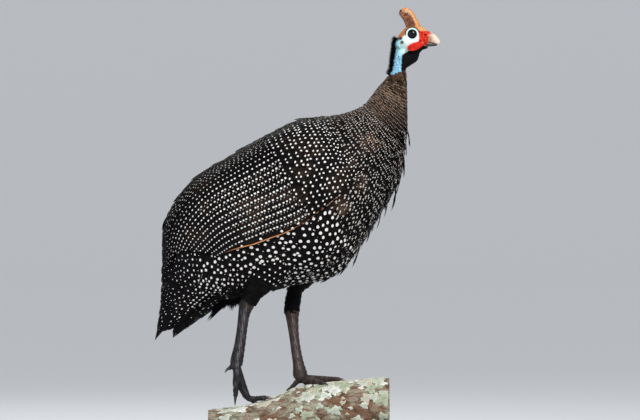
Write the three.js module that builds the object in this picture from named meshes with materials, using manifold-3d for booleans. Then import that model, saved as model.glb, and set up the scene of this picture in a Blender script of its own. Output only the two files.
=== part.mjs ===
// A helmeted guinea fowl standing on a short length of branch, as a still, life-size display model.
// Millimetres. +X is the way the bird faces, +Y its left side, +Z up. The origin is the middle of the
// stand's underside. Every solid keeps GAP to the one it meets.
import * as THREE from "three";
import { mergeVertices } from "three/addons/utils/BufferGeometryUtils.js";
import Module from "manifold-3d";

const wasm = await Module();
wasm.setup();

const GAP = 0.35;
const TAU = 2 * Math.PI;
const DEGREE = Math.PI / 180;
const ACROSS = new THREE.Vector3(0, 1, 0);

// Sizes of the body: back and belly are [x, z] in the middle plane, wide is the half width there.
// The rows run from the root of the tail to the top of the bare neck.
const BODY = [
  { back: [-170, 223], belly: [-116, 207], wide: 17 },
  { back: [-169, 258], belly: [-95, 215], wide: 29 },
  { back: [-165, 316], belly: [-78, 217], wide: 44 },
  { back: [-130, 365], belly: [-55, 223], wide: 55 },
  { back: [-88, 393], belly: [-4, 236], wide: 62 },
  { back: [-43, 419], belly: [48, 249], wide: 64 },
  { back: [5, 440], belly: [84, 294], wide: 61 },
  { back: [42, 444], belly: [107, 335], wide: 54 },
  { back: [67, 451], belly: [123, 360], wide: 45 },
  { back: [82, 458], belly: [131, 391], wide: 35 },
  { back: [93, 471], belly: [136, 428], wide: 25.5 },
  { back: [102, 483], belly: [136, 460], wide: 18 },
  { back: [111, 493], belly: [135.5, 483], wide: 12.5 },
  { back: [117, 506], belly: [135, 503], wide: 9 },
  { back: [118, 517], belly: [140, 509], wide: 8.5 },
  { back: [119.5, 527], belly: [150, 517], wide: 8.5 },
  { back: [121.5, 534], belly: [155.5, 526], wide: 8 },
  { back: [125, 541], belly: [157, 535], wide: 8 },
];
const TORSO_FROM = 0;
const TORSO_TO = 9;
const FEATHERED_NECK_TO = 12.6;
const NECK_PLANE_STEP = 0.035; // along the rows, about GAP at the neck

// Sizes of the head, from the middle of the eye: x, top, bottom, half width.
const EYE = new THREE.Vector3(142.5, 0, 548);
const HEAD = [
  [-22, -11.5, -18.5, 3],
  [-19, -5.6, -21, 7.2],
  [-14, 2.4, -23, 10.2],
  [-8.5, 8, -23.5, 12.4],
  [-3.5, 10.2, -23, 13.3],
  [1.5, 10.8, -21.6, 13.4],
  [6.5, 10.8, -20.6, 12.4],
  [11.5, 9.7, -19.6, 10.4],
  [16, 7.2, -18.6, 8.7],
  [19.6, 4.9, -17.4, 7.6],
];
const JAW_PLANE = -20; // the neck meets the head here, below the eye
const EYEBALL = { radius: 7, flat: 0.9, out: 7 };
const LIDS = { radius: 6.3, thick: 1.1, out: 11.6, lean: 14 };
const EAR = { x: -13, z: -10.5, radius: 2.3 };
const NOSTRIL = { x: 17.2, z: -1.2, radius: 1.3 };

// The casque and the bill, along their own lines: x, z from the eye, half depth, half width.
const CASQUE = [
  [2.2, 6, 9.5, 5.8],
  [0.6, 12, 8.6, 5.2],
  [-2.4, 18, 8, 4.7],
  [-5.8, 24, 7.7, 4.2],
  [-9.6, 28.8, 6.8, 3.5],
  [-11.8, 32, 3.8, 2],
];
const BILL_ROOT = 19.95;
const MOUTH = { z: -9.9, slope: -0.18 };
const UPPER_BILL = [
  [17.5, -2.3, 7.2, 7.2],
  [24, -4, 6, 6],
  [28.2, -5.9, 4.6, 4.6],
  [32, -8.6, 3, 3],
  [34.4, -11, 1.3, 1.5],
];
const LOWER_BILL = [
  [17.5, -12.6, 2.7, 6.4],
  [24, -13, 2.1, 5],
  [28, -13.2, 1.5, 3.6],
  [31.5, -13.2, 0.8, 1.8],
];
// The wattle hangs back from the corner of the mouth: x, z, half depth, half width, out from the middle.
const WATTLE = [
  [13, -11.6, 2.4, 0.9, 10.6],
  [8, -13.8, 4.2, 1.2, 11.8],
  [2.5, -15.9, 4.8, 1.3, 12.8],
  [-2.5, -17.1, 3.9, 1.2, 13],
  [-6.2, -17.7, 1.4, 0.7, 13.1],
];
const CARUNCLES = [
  [11.5, 2, 10.4],
  [14, 4.5, 8.6],
  [12.5, -2.5, 10.4],
  [14.5, -6, 9.6],
  [17, -9, 8.4],
  [10.5, -6.5, 10.9],
];
const NAPE = { hairs: 10, from: 4, to: -34, long: 6.5, wide: 1.3 };

// Sizes of a folded wing: rows along the body, and degrees round it from the back.
const WING = {
  front: 6.9,
  rear: 2.3,
  top: 20,
  bottom: 101,
  thick: 7,
};
// Rows of its feathers, the lowest first: each runs from a row and angle to a row and angle, the first
// and last feather given, with the count, the width, and how far its tip stands off the wing.
const WING_FEATHERS = [
  { count: 3, from: [[4.6, 98], [4, 92]], to: [[2.9, 104], [2.3, 101]], wide: 17, lift: 0.2 },
  { count: 8, from: [[4.2, 93], [3.9, 36]], to: [[2.5, 100], [1.1, 37]], wide: 23, lift: 0.6 },
  { count: 2, from: [[4.2, 36], [4.2, 26]], to: [[1.7, 33], [2.6, 20]], wide: 22, lift: 1.4 },
  { count: 7, from: [[5.2, 95], [5.1, 32]], to: [[3.9, 97], [3.4, 31]], wide: 23, lift: 1.6 },
];

// The branch: its axis rises to the front. x, z of the axis, radius.
const BRANCH = [
  [-112, 47.5, 30.5],
  [-80, 51.5, 32],
  [-40, 58.5, 33.5],
  [0, 70.5, 35.5],
  [40, 76, 36],
  [80, 79, 37],
  [114, 80, 38],
];

// The stand.
const BASE = { long: 250, wide: 176, thick: 12, corner: 24, bevel: 2 };
const ROD = { radius: 4, places: [-58, 62] };

// Legs: x, y, z, half depth, half width, from the body down. The right leg is the rear one.
const LEGS = {
  right: {
    thigh: [
      [-24, -24, 290, 38, 24],
      [-36, -30, 262, 30, 21],
      [-48, -30, 241, 20, 16],
      [-57, -27.5, 225, 12.6, 10.8],
      [-62.6, -25, 212, 9.8, 8.4],
    ],
    shank: [
      [-64.2, -24.6, 210.5, 9, 7.6],
      [-67.3, -23.6, 198, 7, 6],
      [-69.6, -21.6, 181, 6.4, 5.2],
      [-72.6, -19, 160, 6.8, 5.4],
      [-76.2, -16.9, 142, 7.8, 6.2],
    ],
    ankle: [-77, -16.3, 135],
    toes: [
      { name: "middle", turn: 3, reach: [11, 17, 37], lift: [14, 4, 0], fat: 4.1 },
      { name: "outer", turn: -100, reach: [1.5, 3, 5], lift: [27, 19, 13], fat: 3.8 },
      { name: "inner", turn: 34, reach: [7, 14, 27], lift: [20, 8, 0], fat: 3.6 },
      { name: "hind", turn: 186, reach: [4, 6.5, 8.5], lift: [49, 49.5, 49], fat: 3.2 },
    ],
  },
  left: {
    thigh: [
      [20, 22, 300, 42, 26],
      [13, 31, 266, 31, 23],
      [4, 31, 245, 18, 15.5],
      [-3.4, 29.5, 230, 10.4, 10.6],
      [-6.6, 27.5, 215, 9.3, 8.8],
      [-7.9, 26, 203, 9.4, 8.2],
    ],
    shank: [
      [-8, 25.8, 201.5, 9.2, 7.6],
      [-7.2, 24.8, 190, 7.4, 6.2],
      [-5.1, 22.4, 170, 6, 5],
      [-2.7, 19.8, 152, 6.1, 5.1],
      [0.2, 17, 136, 6.8, 5.6],
      [2.3, 15.4, 123, 8.8, 6.6],
    ],
    ankle: [3, 15, 117.5],
    toes: [
      { name: "middle", turn: -2, reach: [14, 30, 49], lift: [3.5, 1.6, 0], fat: 4.2 },
      { name: "outer", turn: 36, reach: [12, 24, 36], lift: [1.5, 0.4, 0], fat: 3.7 },
      { name: "inner", turn: -36, reach: [11, 22, 33], lift: [1.5, 0.4, 0], fat: 3.7 },
      { name: "hind", turn: 178, reach: [6, 10, 14], lift: [4, 1.6, 0], fat: 3 },
    ],
  },
};
const CLAW = { long: 10, hindLong: 6.5, fat: 2.1 };

// Colours, as in the materials below.
const LOOKS = {
  plumage: [0x17161a, 0.75],
  hackle: [0x3a322d, 0.8],
  blueSkin: [0x7fb9cf, 0.55],
  face: [0xcfe4e6, 0.5],
  redSkin: [0xc8281e, 0.45],
  casque: [0xb9692f, 0.55],
  bill: [0xd9c2a0, 0.4],
  eye: [0x120c0a, 0.08],
  leg: [0x3b3433, 0.6],
  claw: [0x2a2524, 0.45],
  bark: [0x7a6a58, 0.95],
  plate: [0x2b2826, 0.5],
  steel: [0x8d9094, 0.35],
};

// A row of numbers read at a place between rows, on a smooth curve through them all.
function readRows(rows, at) {
  const last = rows.length - 1;
  const place = Math.min(Math.max(at, 0), last);
  const i = Math.min(Math.floor(place), last - 1);
  const t = place - i;
  const row = (k) => rows[Math.min(Math.max(k, 0), last)];
  return rows[0].map((_, c) => {
    const [a, b, d, e] = [row(i - 1)[c], row(i)[c], row(i + 1)[c], row(i + 2)[c]];
    const inSlope = (d - a) / 2;
    const outSlope = (e - b) / 2;
    const s = t * t;
    return (
      b * (1 - 3 * s + 2 * s * t) +
      d * (3 * s - 2 * s * t) +
      inSlope * (t - 2 * s + s * t) +
      outSlope * (s * t - s)
    );
  });
}

function mix(a, b, t) {
  return a + (b - a) * t;
}

function ease(t) {
  const x = Math.min(Math.max(t, 0), 1);
  return x * x * (3 - 2 * x);
}

// A closed surface through rings of points, closed at both ends on a middle point or a given tip.
function loftRings(rings, tips = {}) {
  const count = rings[0].length;
  const points = rings.flat();
  const middle = (ring) =>
    ring.reduce((sum, p) => sum.add(p), new THREE.Vector3()).divideScalar(count);
  const first = points.push(tips.start ?? middle(rings[0])) - 1;
  const last = points.push(tips.end ?? middle(rings.at(-1))) - 1;
  const faces = [];
  for (let r = 0; r + 1 < rings.length; r++)
    for (let i = 0; i < count; i++) {
      const [a, b] = [r * count + i, r * count + ((i + 1) % count)];
      faces.push(a, b, b + count, a, b + count, a + count);
    }
  const top = (rings.length - 1) * count;
  for (let i = 0; i < count; i++) {
    const next = (i + 1) % count;
    faces.push(first, next, i, last, top + i, top + next);
  }
  return solidOf(points, faces);
}

// A solid of points and faces, turned to face outwards.
function solidOf(points, faces) {
  let volume = 0;
  for (let i = 0; i < faces.length; i += 3) {
    const [a, b, c] = [points[faces[i]], points[faces[i + 1]], points[faces[i + 2]]];
    volume += a.dot(new THREE.Vector3().crossVectors(b, c));
  }
  const turned = volume < 0 ? faces.toReversed() : faces;
  const geometry = new THREE.BufferGeometry();
  geometry.setAttribute(
    "position",
    new THREE.Float32BufferAttribute(points.flatMap((p) => [p.x, p.y, p.z]), 3),
  );
  geometry.setIndex(turned);
  return solidOfGeometry(geometry);
}

function solidOfGeometry(geometry) {
  const bare = geometry.index ? geometry.toNonIndexed() : geometry;
  bare.deleteAttribute("normal");
  bare.deleteAttribute("uv");
  const merged = mergeVertices(bare, 1e-4);
  return new wasm.Manifold(
    new wasm.Mesh({
      numProp: 3,
      vertProperties: merged.attributes.position.array,
      triVerts: new Uint32Array(merged.index.array),
    }),
  );
}

function join(solids) {
  return solids.reduce((whole, piece) => whole.add(piece));
}

// The largest closed body of a solid, without loose scraps.
function largest(solid) {
  return solid
    .decompose()
    .reduce((best, piece) => (piece.volume() > best.volume() ? piece : best));
}

function box(low, high) {
  const size = high.map((v, i) => v - low[i]);
  const made = new THREE.BoxGeometry(...size);
  made.translate(...low.map((v, i) => v + size[i] / 2));
  return solidOfGeometry(made);
}

function ball(centre, radius, detail = 2, flat = 1) {
  const made = new THREE.IcosahedronGeometry(radius, detail);
  made.scale(1, flat, 1);
  made.translate(centre.x, centre.y, centre.z);
  return solidOfGeometry(made);
}

// A limb of oval rings along a line of [x, y, z, half depth, half width] rows.
function limb(rows, { sides, steps, grow = 0, tip = false, shape = () => 1 }) {
  const at = (s) => readRows(rows, s * (rows.length - 1));
  const place = (row) => new THREE.Vector3(row[0], row[1], row[2]);
  const rings = [];
  for (let i = 0; i <= steps; i++) {
    const s = i / steps;
    const row = at(s);
    const along = place(at(Math.min(s + 0.01, 1)))
      .sub(place(at(Math.max(s - 0.01, 0))))
      .normalize();
    const side = ACROSS.clone().addScaledVector(along, -ACROSS.dot(along)).normalize();
    const depth = new THREE.Vector3().crossVectors(along, side);
    const ring = [];
    for (let k = 0; k < sides; k++) {
      const angle = (TAU * k) / sides;
      const swell = shape(s, angle);
      ring.push(
        place(row)
          .addScaledVector(depth, Math.cos(angle) * (row[3] + grow) * swell)
          .addScaledVector(side, Math.sin(angle) * (row[4] + grow) * swell),
      );
    }
    rings.push(ring);
  }
  return loftRings(rings, tip ? { end: place(at(1)).add(tip) } : {});
}

// The same limb on the head, from rows of [x, z, half depth, half width, out] from the eye.
function headLimb(rows, options) {
  return limb(
    rows.map(([x, z, deep, wide, y = 0]) => [EYE.x + x, y, EYE.z + z, deep, wide]),
    options,
  );
}

// The body's surface: a place along its rows, an angle from the back, and a height above it.
function bodyPoint(row, angle, height = 0, rows = BODY_ROWS) {
  const [bx, bz, cx, cz, wide] = readRows(rows, row);
  const middle = new THREE.Vector3((bx + cx) / 2, 0, (bz + cz) / 2);
  const up = new THREE.Vector3(bx - cx, 0, bz - cz);
  const deep = up.length() / 2;
  up.normalize();
  const outUp = Math.cos(angle) / deep;
  const outSide = Math.sin(angle) / wide;
  const lift = height / Math.hypot(outUp, outSide);
  return middle
    .addScaledVector(up, Math.cos(angle) * deep + outUp * lift)
    .addScaledVector(ACROSS, Math.sin(angle) * wide + outSide * lift);
}
const BODY_ROWS = BODY.map(({ back, belly, wide }) => [...back, ...belly, wide]);

// A length of the body between two rows.
function bodyLength(from, to, { sides, steps, grow = 0, rows = BODY_ROWS }) {
  const rings = [];
  for (let i = 0; i <= steps; i++) {
    const row = mix(from, to, i / steps);
    const ring = [];
    for (let k = 0; k < sides; k++) ring.push(bodyPoint(row, (TAU * k) / sides, grow, rows));
    rings.push(ring);
  }
  return loftRings(rings);
}

// A feather's vane: a blade along place(t), which gives a point and the way out there. Its width and
// thickness taper to the tip, and tilt lifts one edge over the next feather.
function vane(place, { wide, thick = 1.8, tilt = 0 }) {
  const stations = [
    [0, 0.6, 1],
    [0.45, 1, 1],
    [0.87, 0.75, 0.6],
  ];
  const rings = stations.map(([t, broad, stout]) => {
    const [at, out] = place(t);
    const [ahead] = place(t + 0.05);
    const side = ahead.clone().sub(at).cross(out).normalize();
    const corner = (across, up) =>
      at
        .clone()
        .addScaledVector(side, (across * wide * broad) / 2)
        .addScaledVector(out, (up * thick * stout) / 2 + across * tilt);
    return [corner(-1, 1), corner(1, 1), corner(1, -1), corner(-1, -1)];
  });
  return loftRings(rings, { end: place(1)[0] });
}

// A count of places spread evenly between the first and the last, each a list of numbers.
function spread(count, first, last) {
  return Array.from({ length: count }, (_, i) =>
    first.map((v, c) => mix(v, last[c], count > 1 ? i / (count - 1) : 0)),
  );
}

function torso(grow = 0) {
  return bodyLength(TORSO_FROM, TORSO_TO, { sides: 30, steps: 15, grow });
}

// The head's own form, egg shaped across: wide at the eye and narrow at the jaw.
function headForm(grow = 0) {
  const sides = 20;
  const steps = 13;
  const rings = [];
  for (let i = 0; i <= steps; i++) {
    const [x, top, bottom, wide] = readRows(HEAD, (i / steps) * (HEAD.length - 1));
    const deep = (top - bottom) / 2;
    const ring = [];
    for (let k = 0; k < sides; k++) {
      const angle = (TAU * k) / sides;
      const narrow = 1 - 0.22 * Math.max(0, -Math.cos(angle));
      ring.push(
        new THREE.Vector3(
          EYE.x + x,
          Math.sin(angle) * (wide * narrow + grow),
          EYE.z + (top + bottom) / 2 + Math.cos(angle) * (deep + grow),
        ),
      );
    }
    rings.push(ring);
  }
  const [x, top, bottom] = HEAD[0];
  return loftRings(rings, {
    start: new THREE.Vector3(EYE.x + x - 1.5 - grow, 0, EYE.z + (top + bottom) / 2),
  });
}

function headAndNeck(grow = 0) {
  const neck = bodyLength(FEATHERED_NECK_TO + NECK_PLANE_STEP, 17, { sides: 18, steps: 8, grow });
  return headForm(grow).add(neck);
}

// A tapered hair: a flat blade of three rings that ends in a point.
function hair(root, tip, wide) {
  const along = tip.clone().sub(root);
  const rows = [0, 0.5].map((t) => {
    const at = root.clone().addScaledVector(along, t);
    return [at.x, at.y, at.z, wide * 0.6 * (1 - 0.5 * t), wide * (1 - 0.6 * t)];
  });
  return limb(rows, { sides: 4, steps: 1, tip: along.clone().multiplyScalar(0.5) });
}

function napeHairs() {
  const hairs = [];
  for (let i = 0; i < NAPE.hairs; i++) {
    const t = i / (NAPE.hairs - 1);
    const z = EYE.z + mix(NAPE.from - 8, NAPE.to, t);
    const back = napeLine(z);
    const side = [0, 1, -1][i % 3];
    const root = new THREE.Vector3(back + 2.5, side * 1.6, z);
    const long = NAPE.long * (1.2 - 0.35 * t + 0.2 * Math.sin(i * 2.3));
    const tip = root.clone().add(new THREE.Vector3(-long, side * 1.6, 3 * Math.sin(i * 1.7)));
    hairs.push(hair(root, tip, NAPE.wide));
  }
  return join(hairs);
}

// The x of the back of the head and neck at a height.
function napeLine(z) {
  const line = [
    [503, 115.5],
    [517, 118],
    [527, 119.5],
    [534, 121],
    [541, 122.5],
    [548, 127],
  ];
  const i = Math.max(1, line.findIndex(([height]) => height >= z));
  const [[lowZ, lowX], [highZ, highX]] = [line[i - 1], line[i]];
  return mix(lowX, highX, (z - lowZ) / (highZ - lowZ));
}

function eyeCentre(sign) {
  return new THREE.Vector3(EYE.x, sign * EYEBALL.out, EYE.z);
}

function lidRing(sign) {
  const ring = new THREE.TorusGeometry(LIDS.radius, LIDS.thick, 4, 12);
  ring.rotateX(Math.PI / 2 + sign * LIDS.lean * DEGREE);
  ring.translate(EYE.x, sign * LIDS.out, EYE.z);
  return solidOfGeometry(ring);
}

function headParts() {
  const jaw = EYE.z + JAW_PLANE;
  const whole = headAndNeck();
  const extras = [1, -1].flatMap((sign) => [
    lidRing(sign),
    ...CARUNCLES.map(([x, z, y]) =>
      ball(new THREE.Vector3(EYE.x + x, sign * y * 0.93, EYE.z + z), 1.5, 0),
    ),
  ]);
  let head = join([whole, napeHairs(), ...extras]);
  for (const sign of [1, -1]) {
    const earAt = new THREE.Vector3(EYE.x + EAR.x, sign * 10.6, EYE.z + EAR.z);
    const nostrilAt = new THREE.Vector3(EYE.x + NOSTRIL.x, sign * 7.4, EYE.z + NOSTRIL.z);
    head = head
      .subtract(ball(eyeCentre(sign), EYEBALL.radius + GAP, 2, EYEBALL.flat))
      .subtract(ball(earAt, EAR.radius, 1))
      .subtract(ball(nostrilAt, NOSTRIL.radius, 1));
  }
  const upper = box([0, -60, jaw], [EYE.x + BILL_ROOT - GAP, 60, 700]);
  const lower = box([0, -60, 300], [260, 60, jaw - GAP]);
  return { head: largest(head.intersect(upper)), neck: largest(head.intersect(lower)) };
}

function casque() {
  const rounded = { sides: 12, steps: 7, tip: new THREE.Vector3(-0.7, 0, 1.2) };
  return largest(headLimb(CASQUE, rounded).subtract(headForm(GAP)));
}

function wattle() {
  const rows = WATTLE.map(([x, z, deep, wide, y]) => [x, z, deep, wide, -y]);
  return largest(headLimb(rows, { sides: 8, steps: 8 }).subtract(headAndNeck(GAP)));
}

function eyeball(sign) {
  return ball(eyeCentre(sign), EYEBALL.radius, 2, EYEBALL.flat);
}

// A bill half keeps to its own side of the line of the mouth, which slopes down to the tip.
function billHalf(rows, low, high) {
  const reach = 60;
  const side = new THREE.BoxGeometry(reach, reach, high - low);
  side.translate(reach / 2, 0, (low + high) / 2);
  side.applyMatrix4(new THREE.Matrix4().makeShear(0, MOUTH.slope, 0, 0, 0, 0));
  side.translate(EYE.x + BILL_ROOT, 0, EYE.z + MOUTH.z);
  return largest(headLimb(rows, { sides: 12, steps: 6 }).intersect(solidOfGeometry(side)));
}

// How far the wing's smooth form stands off the body, at a row and an angle in degrees.
function wingHeight(row, angle) {
  const t = (WING.front - row) / (WING.front - WING.rear);
  const round = wingRound(t);
  const across = (angle - WING.top) / (WING.bottom - WING.top);
  return GAP + 1 + WING.thick * round * Math.sin(Math.PI * Math.min(Math.max(across, 0), 1)) ** 0.6;
}

function wingRound(t) {
  return Math.min(1, Math.sqrt(Math.max(t, 0) / 0.16 + 0.04), Math.sqrt(Math.max(1 - t, 0) / 0.3 + 0.1));
}

// The wing lies on the body as a thin, domed shell with rounded ends.
function wingShell() {
  const steps = 10;
  const across = 6;
  const rings = [];
  for (let i = 0; i <= steps; i++) {
    const t = i / steps;
    const row = mix(WING.front, WING.rear, t);
    const middle = (WING.top + WING.bottom) / 2;
    const half = ((WING.bottom - WING.top) / 2) * wingRound(t);
    const angles = spread(across + 1, [middle - half], [middle + half]).flat();
    const top = angles.map((a) => bodyPoint(row, -a * DEGREE, wingHeight(row, a)));
    const under = angles.toReversed().map((a) => bodyPoint(row, -a * DEGREE, -1));
    rings.push([...top, ...under]);
  }
  return loftRings(rings);
}

// One row of feathers of the wing, each lower edge lifted over the feather below it.
function wingFeathers({ count, from, to, wide, lift }) {
  const roots = spread(count, ...from);
  const tips = spread(count, ...to);
  return roots.map((start, i) => {
    const place = (t) => {
      const [row, angle] = start.map((v, c) => mix(v, tips[i][c], t));
      const height = wingHeight(row, angle) - 1.2 + (lift + 0.7) * ease(t * 3);
      const at = bodyPoint(row, -angle * DEGREE, height);
      const out = bodyPoint(row, -angle * DEGREE, height + 1).sub(at);
      return [at, out];
    };
    return vane(place, { wide, tilt: -0.7 });
  });
}

function wing() {
  const feathers = WING_FEATHERS.flatMap((row) => wingFeathers(row));
  return largest(join([wingShell(), ...feathers]).subtract(torso(GAP)));
}

// The tail's fleshy root: back and belly lines and half width, as the body's rows.
const TAIL_ROOT = [
  [-167, 224, -110, 208, 16],
  [-171, 206, -126, 196, 17],
  [-173.5, 192, -143, 186, 15],
  [-173, 184, -151, 182, 9],
];
// Its feathers: root, tip and way out for the middle one, and what each step to the side adds.
const TAIL_FEATHERS = [
  { count: 10, root: [-165, 0, 214], tip: [-176.8, 0, 164.5], out: [-1, 0, 0.1], wide: 14, step: 3.5 },
  { count: 5, root: [-167, 0, 221], tip: [-177, 0, 188], out: [-1, 0, 0.1], wide: 17, step: 6.2 },
  { count: 6, root: [-122, 0, 201], tip: [-158, 0, 168.5], out: [0.6, 0, -0.8], wide: 15, step: 4.6 },
];

function tailFeathers({ count, root: from, tip, out, wide, step }) {
  return spread(count, [-(count - 1) / 2], [(count - 1) / 2]).map(([i]) => {
    const turn = (i / count) * 1.9;
    const way = new THREE.Vector3(out[0] * Math.cos(turn), Math.sin(turn), out[2] * Math.cos(turn));
    const middleward = Math.sign(-out[0]);
    const start = new THREE.Vector3(...from).add(
      new THREE.Vector3(middleward * i * i * step * 0.11, i * step * 0.72, 0),
    );
    const end = new THREE.Vector3(...tip).add(
      new THREE.Vector3(middleward * i * i * step * 0.09, i * step * 1.25, Math.abs(i) * 0.9),
    );
    const place = (t) => [start.clone().lerp(end, t).addScaledVector(way, 2.5 * t * (1 - t)), way];
    return vane(place, { wide, thick: 1.5, tilt: 0.5 * Math.sign(i) });
  });
}

function tail() {
  const core = bodyLength(0, 3, { sides: 16, steps: 4, rows: TAIL_ROOT });
  const feathers = TAIL_FEATHERS.flatMap((row) => tailFeathers(row));
  return largest(join([core, ...feathers]).subtract(torso(GAP)));
}

// The branch's surface: a place along it, an angle from its top, and a height above the bark.
function branchPoint(x, angle, height = 0) {
  const [, axis, radius] = readRows(BRANCH, branchPlace(x));
  const knots =
    1 + 0.035 * Math.sin(2 * angle + x / 31) + 0.025 * Math.sin(3 * angle + 1.3 - x / 19);
  const reach = radius * knots + height;
  return new THREE.Vector3(x, Math.sin(angle) * reach, axis + Math.cos(angle) * reach);
}

function branchPlace(x) {
  const i = Math.max(1, BRANCH.findIndex(([rowX]) => rowX >= x));
  return i - 1 + (x - BRANCH[i - 1][0]) / (BRANCH[i][0] - BRANCH[i - 1][0]);
}

function branch(grow = 0) {
  const sides = 24;
  const steps = 16;
  const [from, to] = [BRANCH[0][0], BRANCH.at(-1)[0]];
  const rings = [];
  for (let i = 0; i <= steps; i++) {
    const x = mix(from - grow, to + grow, i / steps);
    const ring = [];
    for (let k = 0; k < sides; k++) {
      const angle = (TAU * k) / sides;
      const point = branchPoint(Math.min(Math.max(x, from), to), angle, grow);
      ring.push(point.setX(x));
    }
    rings.push(ring);
  }
  return loftRings(rings);
}

function base() {
  const { long, wide, thick, corner, bevel } = BASE;
  const [x, y] = [long / 2 - bevel, wide / 2 - bevel];
  const shape = new THREE.Shape();
  shape.moveTo(-x + corner, -y);
  shape.lineTo(x - corner, -y);
  shape.absarc(x - corner, -y + corner, corner, -Math.PI / 2, 0);
  shape.lineTo(x, y - corner);
  shape.absarc(x - corner, y - corner, corner, 0, Math.PI / 2);
  shape.lineTo(-x + corner, y);
  shape.absarc(-x + corner, y - corner, corner, Math.PI / 2, Math.PI);
  shape.lineTo(-x, -y + corner);
  shape.absarc(-x + corner, -y + corner, corner, Math.PI, 1.5 * Math.PI);
  const made = new THREE.ExtrudeGeometry(shape, {
    depth: thick - 2 * bevel,
    bevelThickness: bevel,
    bevelSize: bevel,
    bevelSegments: 1,
    curveSegments: 4,
  });
  made.translate(0, 0, bevel);
  return solidOfGeometry(made);
}

function rod(x) {
  const from = BASE.thick + GAP;
  const length = 60;
  const made = new THREE.CylinderGeometry(ROD.radius, ROD.radius, length, 16);
  made.rotateX(Math.PI / 2);
  made.translate(x, 0, from + length / 2);
  return largest(solidOfGeometry(made).subtract(branch(GAP)));
}

// The line of a toe from the ankle over the branch: reach along it, then lift above the bark.
function toeRows(leg, toe) {
  const [ankleX, ankleY, ankleZ] = leg.ankle;
  const turn = toe.turn * DEGREE;
  const [, axis] = readRows(BRANCH, branchPlace(ankleX));
  const start = Math.atan2(ankleY, ankleZ - axis);
  const radius = branchPoint(ankleX, start).setX(0).distanceTo(new THREE.Vector3(0, 0, axis));
  const rows = [[ankleX, ankleY, ankleZ, toe.fat * 1.2, toe.fat * 1.2]];
  toe.reach.forEach((reach, i) => {
    const x = ankleX + Math.cos(turn) * reach;
    const angle = start + (Math.sin(turn) * reach) / radius;
    const fat = toe.fat * (1 - 0.13 * i);
    const at = branchPoint(x, angle, fat + GAP + toe.lift[i]);
    rows.push([at.x, at.y, at.z, fat, fat]);
  });
  return rows;
}

// Pads under the joints of a toe.
function padded(s) {
  return 1 + 0.09 * Math.cos(s * 3 * TAU);
}

function foot(leg, shankGrown) {
  const toes = leg.toes.map((toe) => limb(toeRows(leg, toe), { sides: 7, steps: 8, shape: padded }));
  const palm = ball(new THREE.Vector3(...leg.ankle), 6.6, 1);
  return largest(join([palm, ...toes]).subtract(shankGrown).subtract(branch(GAP)));
}

// A claw curves down from the end of its toe to the bark.
function claw(leg, toe) {
  const rows = toeRows(leg, toe);
  const [before, end] = rows.slice(-2).map((row) => new THREE.Vector3(row[0], row[1], row[2]));
  const ahead = end.clone().sub(before).normalize();
  const long = toe.name === "hind" ? CLAW.hindLong : CLAW.long;
  const fat = CLAW.fat;
  const bend = (share, drop) => {
    const at = end.clone().addScaledVector(ahead, GAP + long * share);
    return [at.x, at.y, at.z + drop];
  };
  const line = [
    [...bend(0, 0), fat, fat * 0.8],
    [...bend(0.35, 0.3), fat * 0.8, fat * 0.65],
    [...bend(0.7, -0.6), fat * 0.5, fat * 0.4],
    [...bend(0.9, -1.6), fat * 0.25, fat * 0.2],
  ];
  const tip = ahead.clone().multiplyScalar(long * 0.1).setZ(-1);
  return largest(limb(line, { sides: 6, steps: 4, tip }).subtract(branch(GAP)));
}

// The shank's front is a row of scutes, each lapping the one below.
function scuted(count) {
  return (s, angle) => {
    const front = Math.max(0, Math.cos(angle));
    const lap = 1 - ((s * count) % 1);
    return 1 + 0.1 * front * lap;
  };
}

const root = new THREE.Group();

function put(name, solid, look, mirrored = false) {
  const mesh = solid.getMesh();
  const geometry = new THREE.BufferGeometry();
  geometry.setAttribute("position", new THREE.BufferAttribute(mesh.vertProperties, 3));
  geometry.setIndex(new THREE.BufferAttribute(mesh.triVerts, 1));
  geometry.computeVertexNormals();
  const [color, roughness] = LOOKS[look];
  const metalness = look === "steel" ? 1 : 0;
  const made = new THREE.Mesh(
    geometry,
    new THREE.MeshStandardMaterial({ color, roughness, metalness }),
  );
  made.name = name;
  made.scale.y = mirrored ? -1 : 1;
  root.add(made);
}

// Body
put("torso", torso(), "plumage");
put(
  "neck_feathered",
  bodyLength(TORSO_TO + NECK_PLANE_STEP, FEATHERED_NECK_TO, { sides: 24, steps: 8 }),
  "hackle",
);
put("tail", tail(), "plumage");

// Head
const { head, neck } = headParts();
put("neck_bare", neck, "blueSkin");
put("head", head, "face");
put("casque", casque(), "casque");
put("bill_upper", billHalf(UPPER_BILL, 0, 30), "bill");
put("bill_lower", billHalf(LOWER_BILL, -30, -GAP), "bill");

// What comes in pairs: the left wing, eye and wattle mirror the right ones
const pairs = [
  ["wing_", wing(), "plumage"],
  ["eye_", eyeball(-1), "eye"],
  ["wattle_", wattle(), "redSkin"],
];
for (const [name, solid, look] of pairs) {
  put(name + "right", solid, look);
  put(name + "left", solid, look, true);
}
for (const side of ["right", "left"]) {
  const leg = LEGS[side];
  const shank = limb(leg.shank, { sides: 10, steps: 20, shape: scuted(10) });
  const shankRoom = limb(leg.shank, { sides: 12, steps: 10, grow: GAP + 0.9 });
  const thigh = limb(leg.thigh, { sides: 16, steps: 8 }).subtract(torso(GAP)).subtract(shankRoom);
  put("thigh_" + side, largest(thigh), "plumage");
  put("shank_" + side, shank, "leg");
  put("foot_" + side, foot(leg, shankRoom), "leg");
  for (const toe of leg.toes) put(`claw_${side}_${toe.name}`, claw(leg, toe), "claw");
}

// The branch and its stand
put("branch", branch(), "bark");
put("stand_base", base(), "plate");
ROD.places.forEach((x, i) => put(`stand_rod_${i + 1}`, rod(x), "steel"));

export default root;
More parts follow.
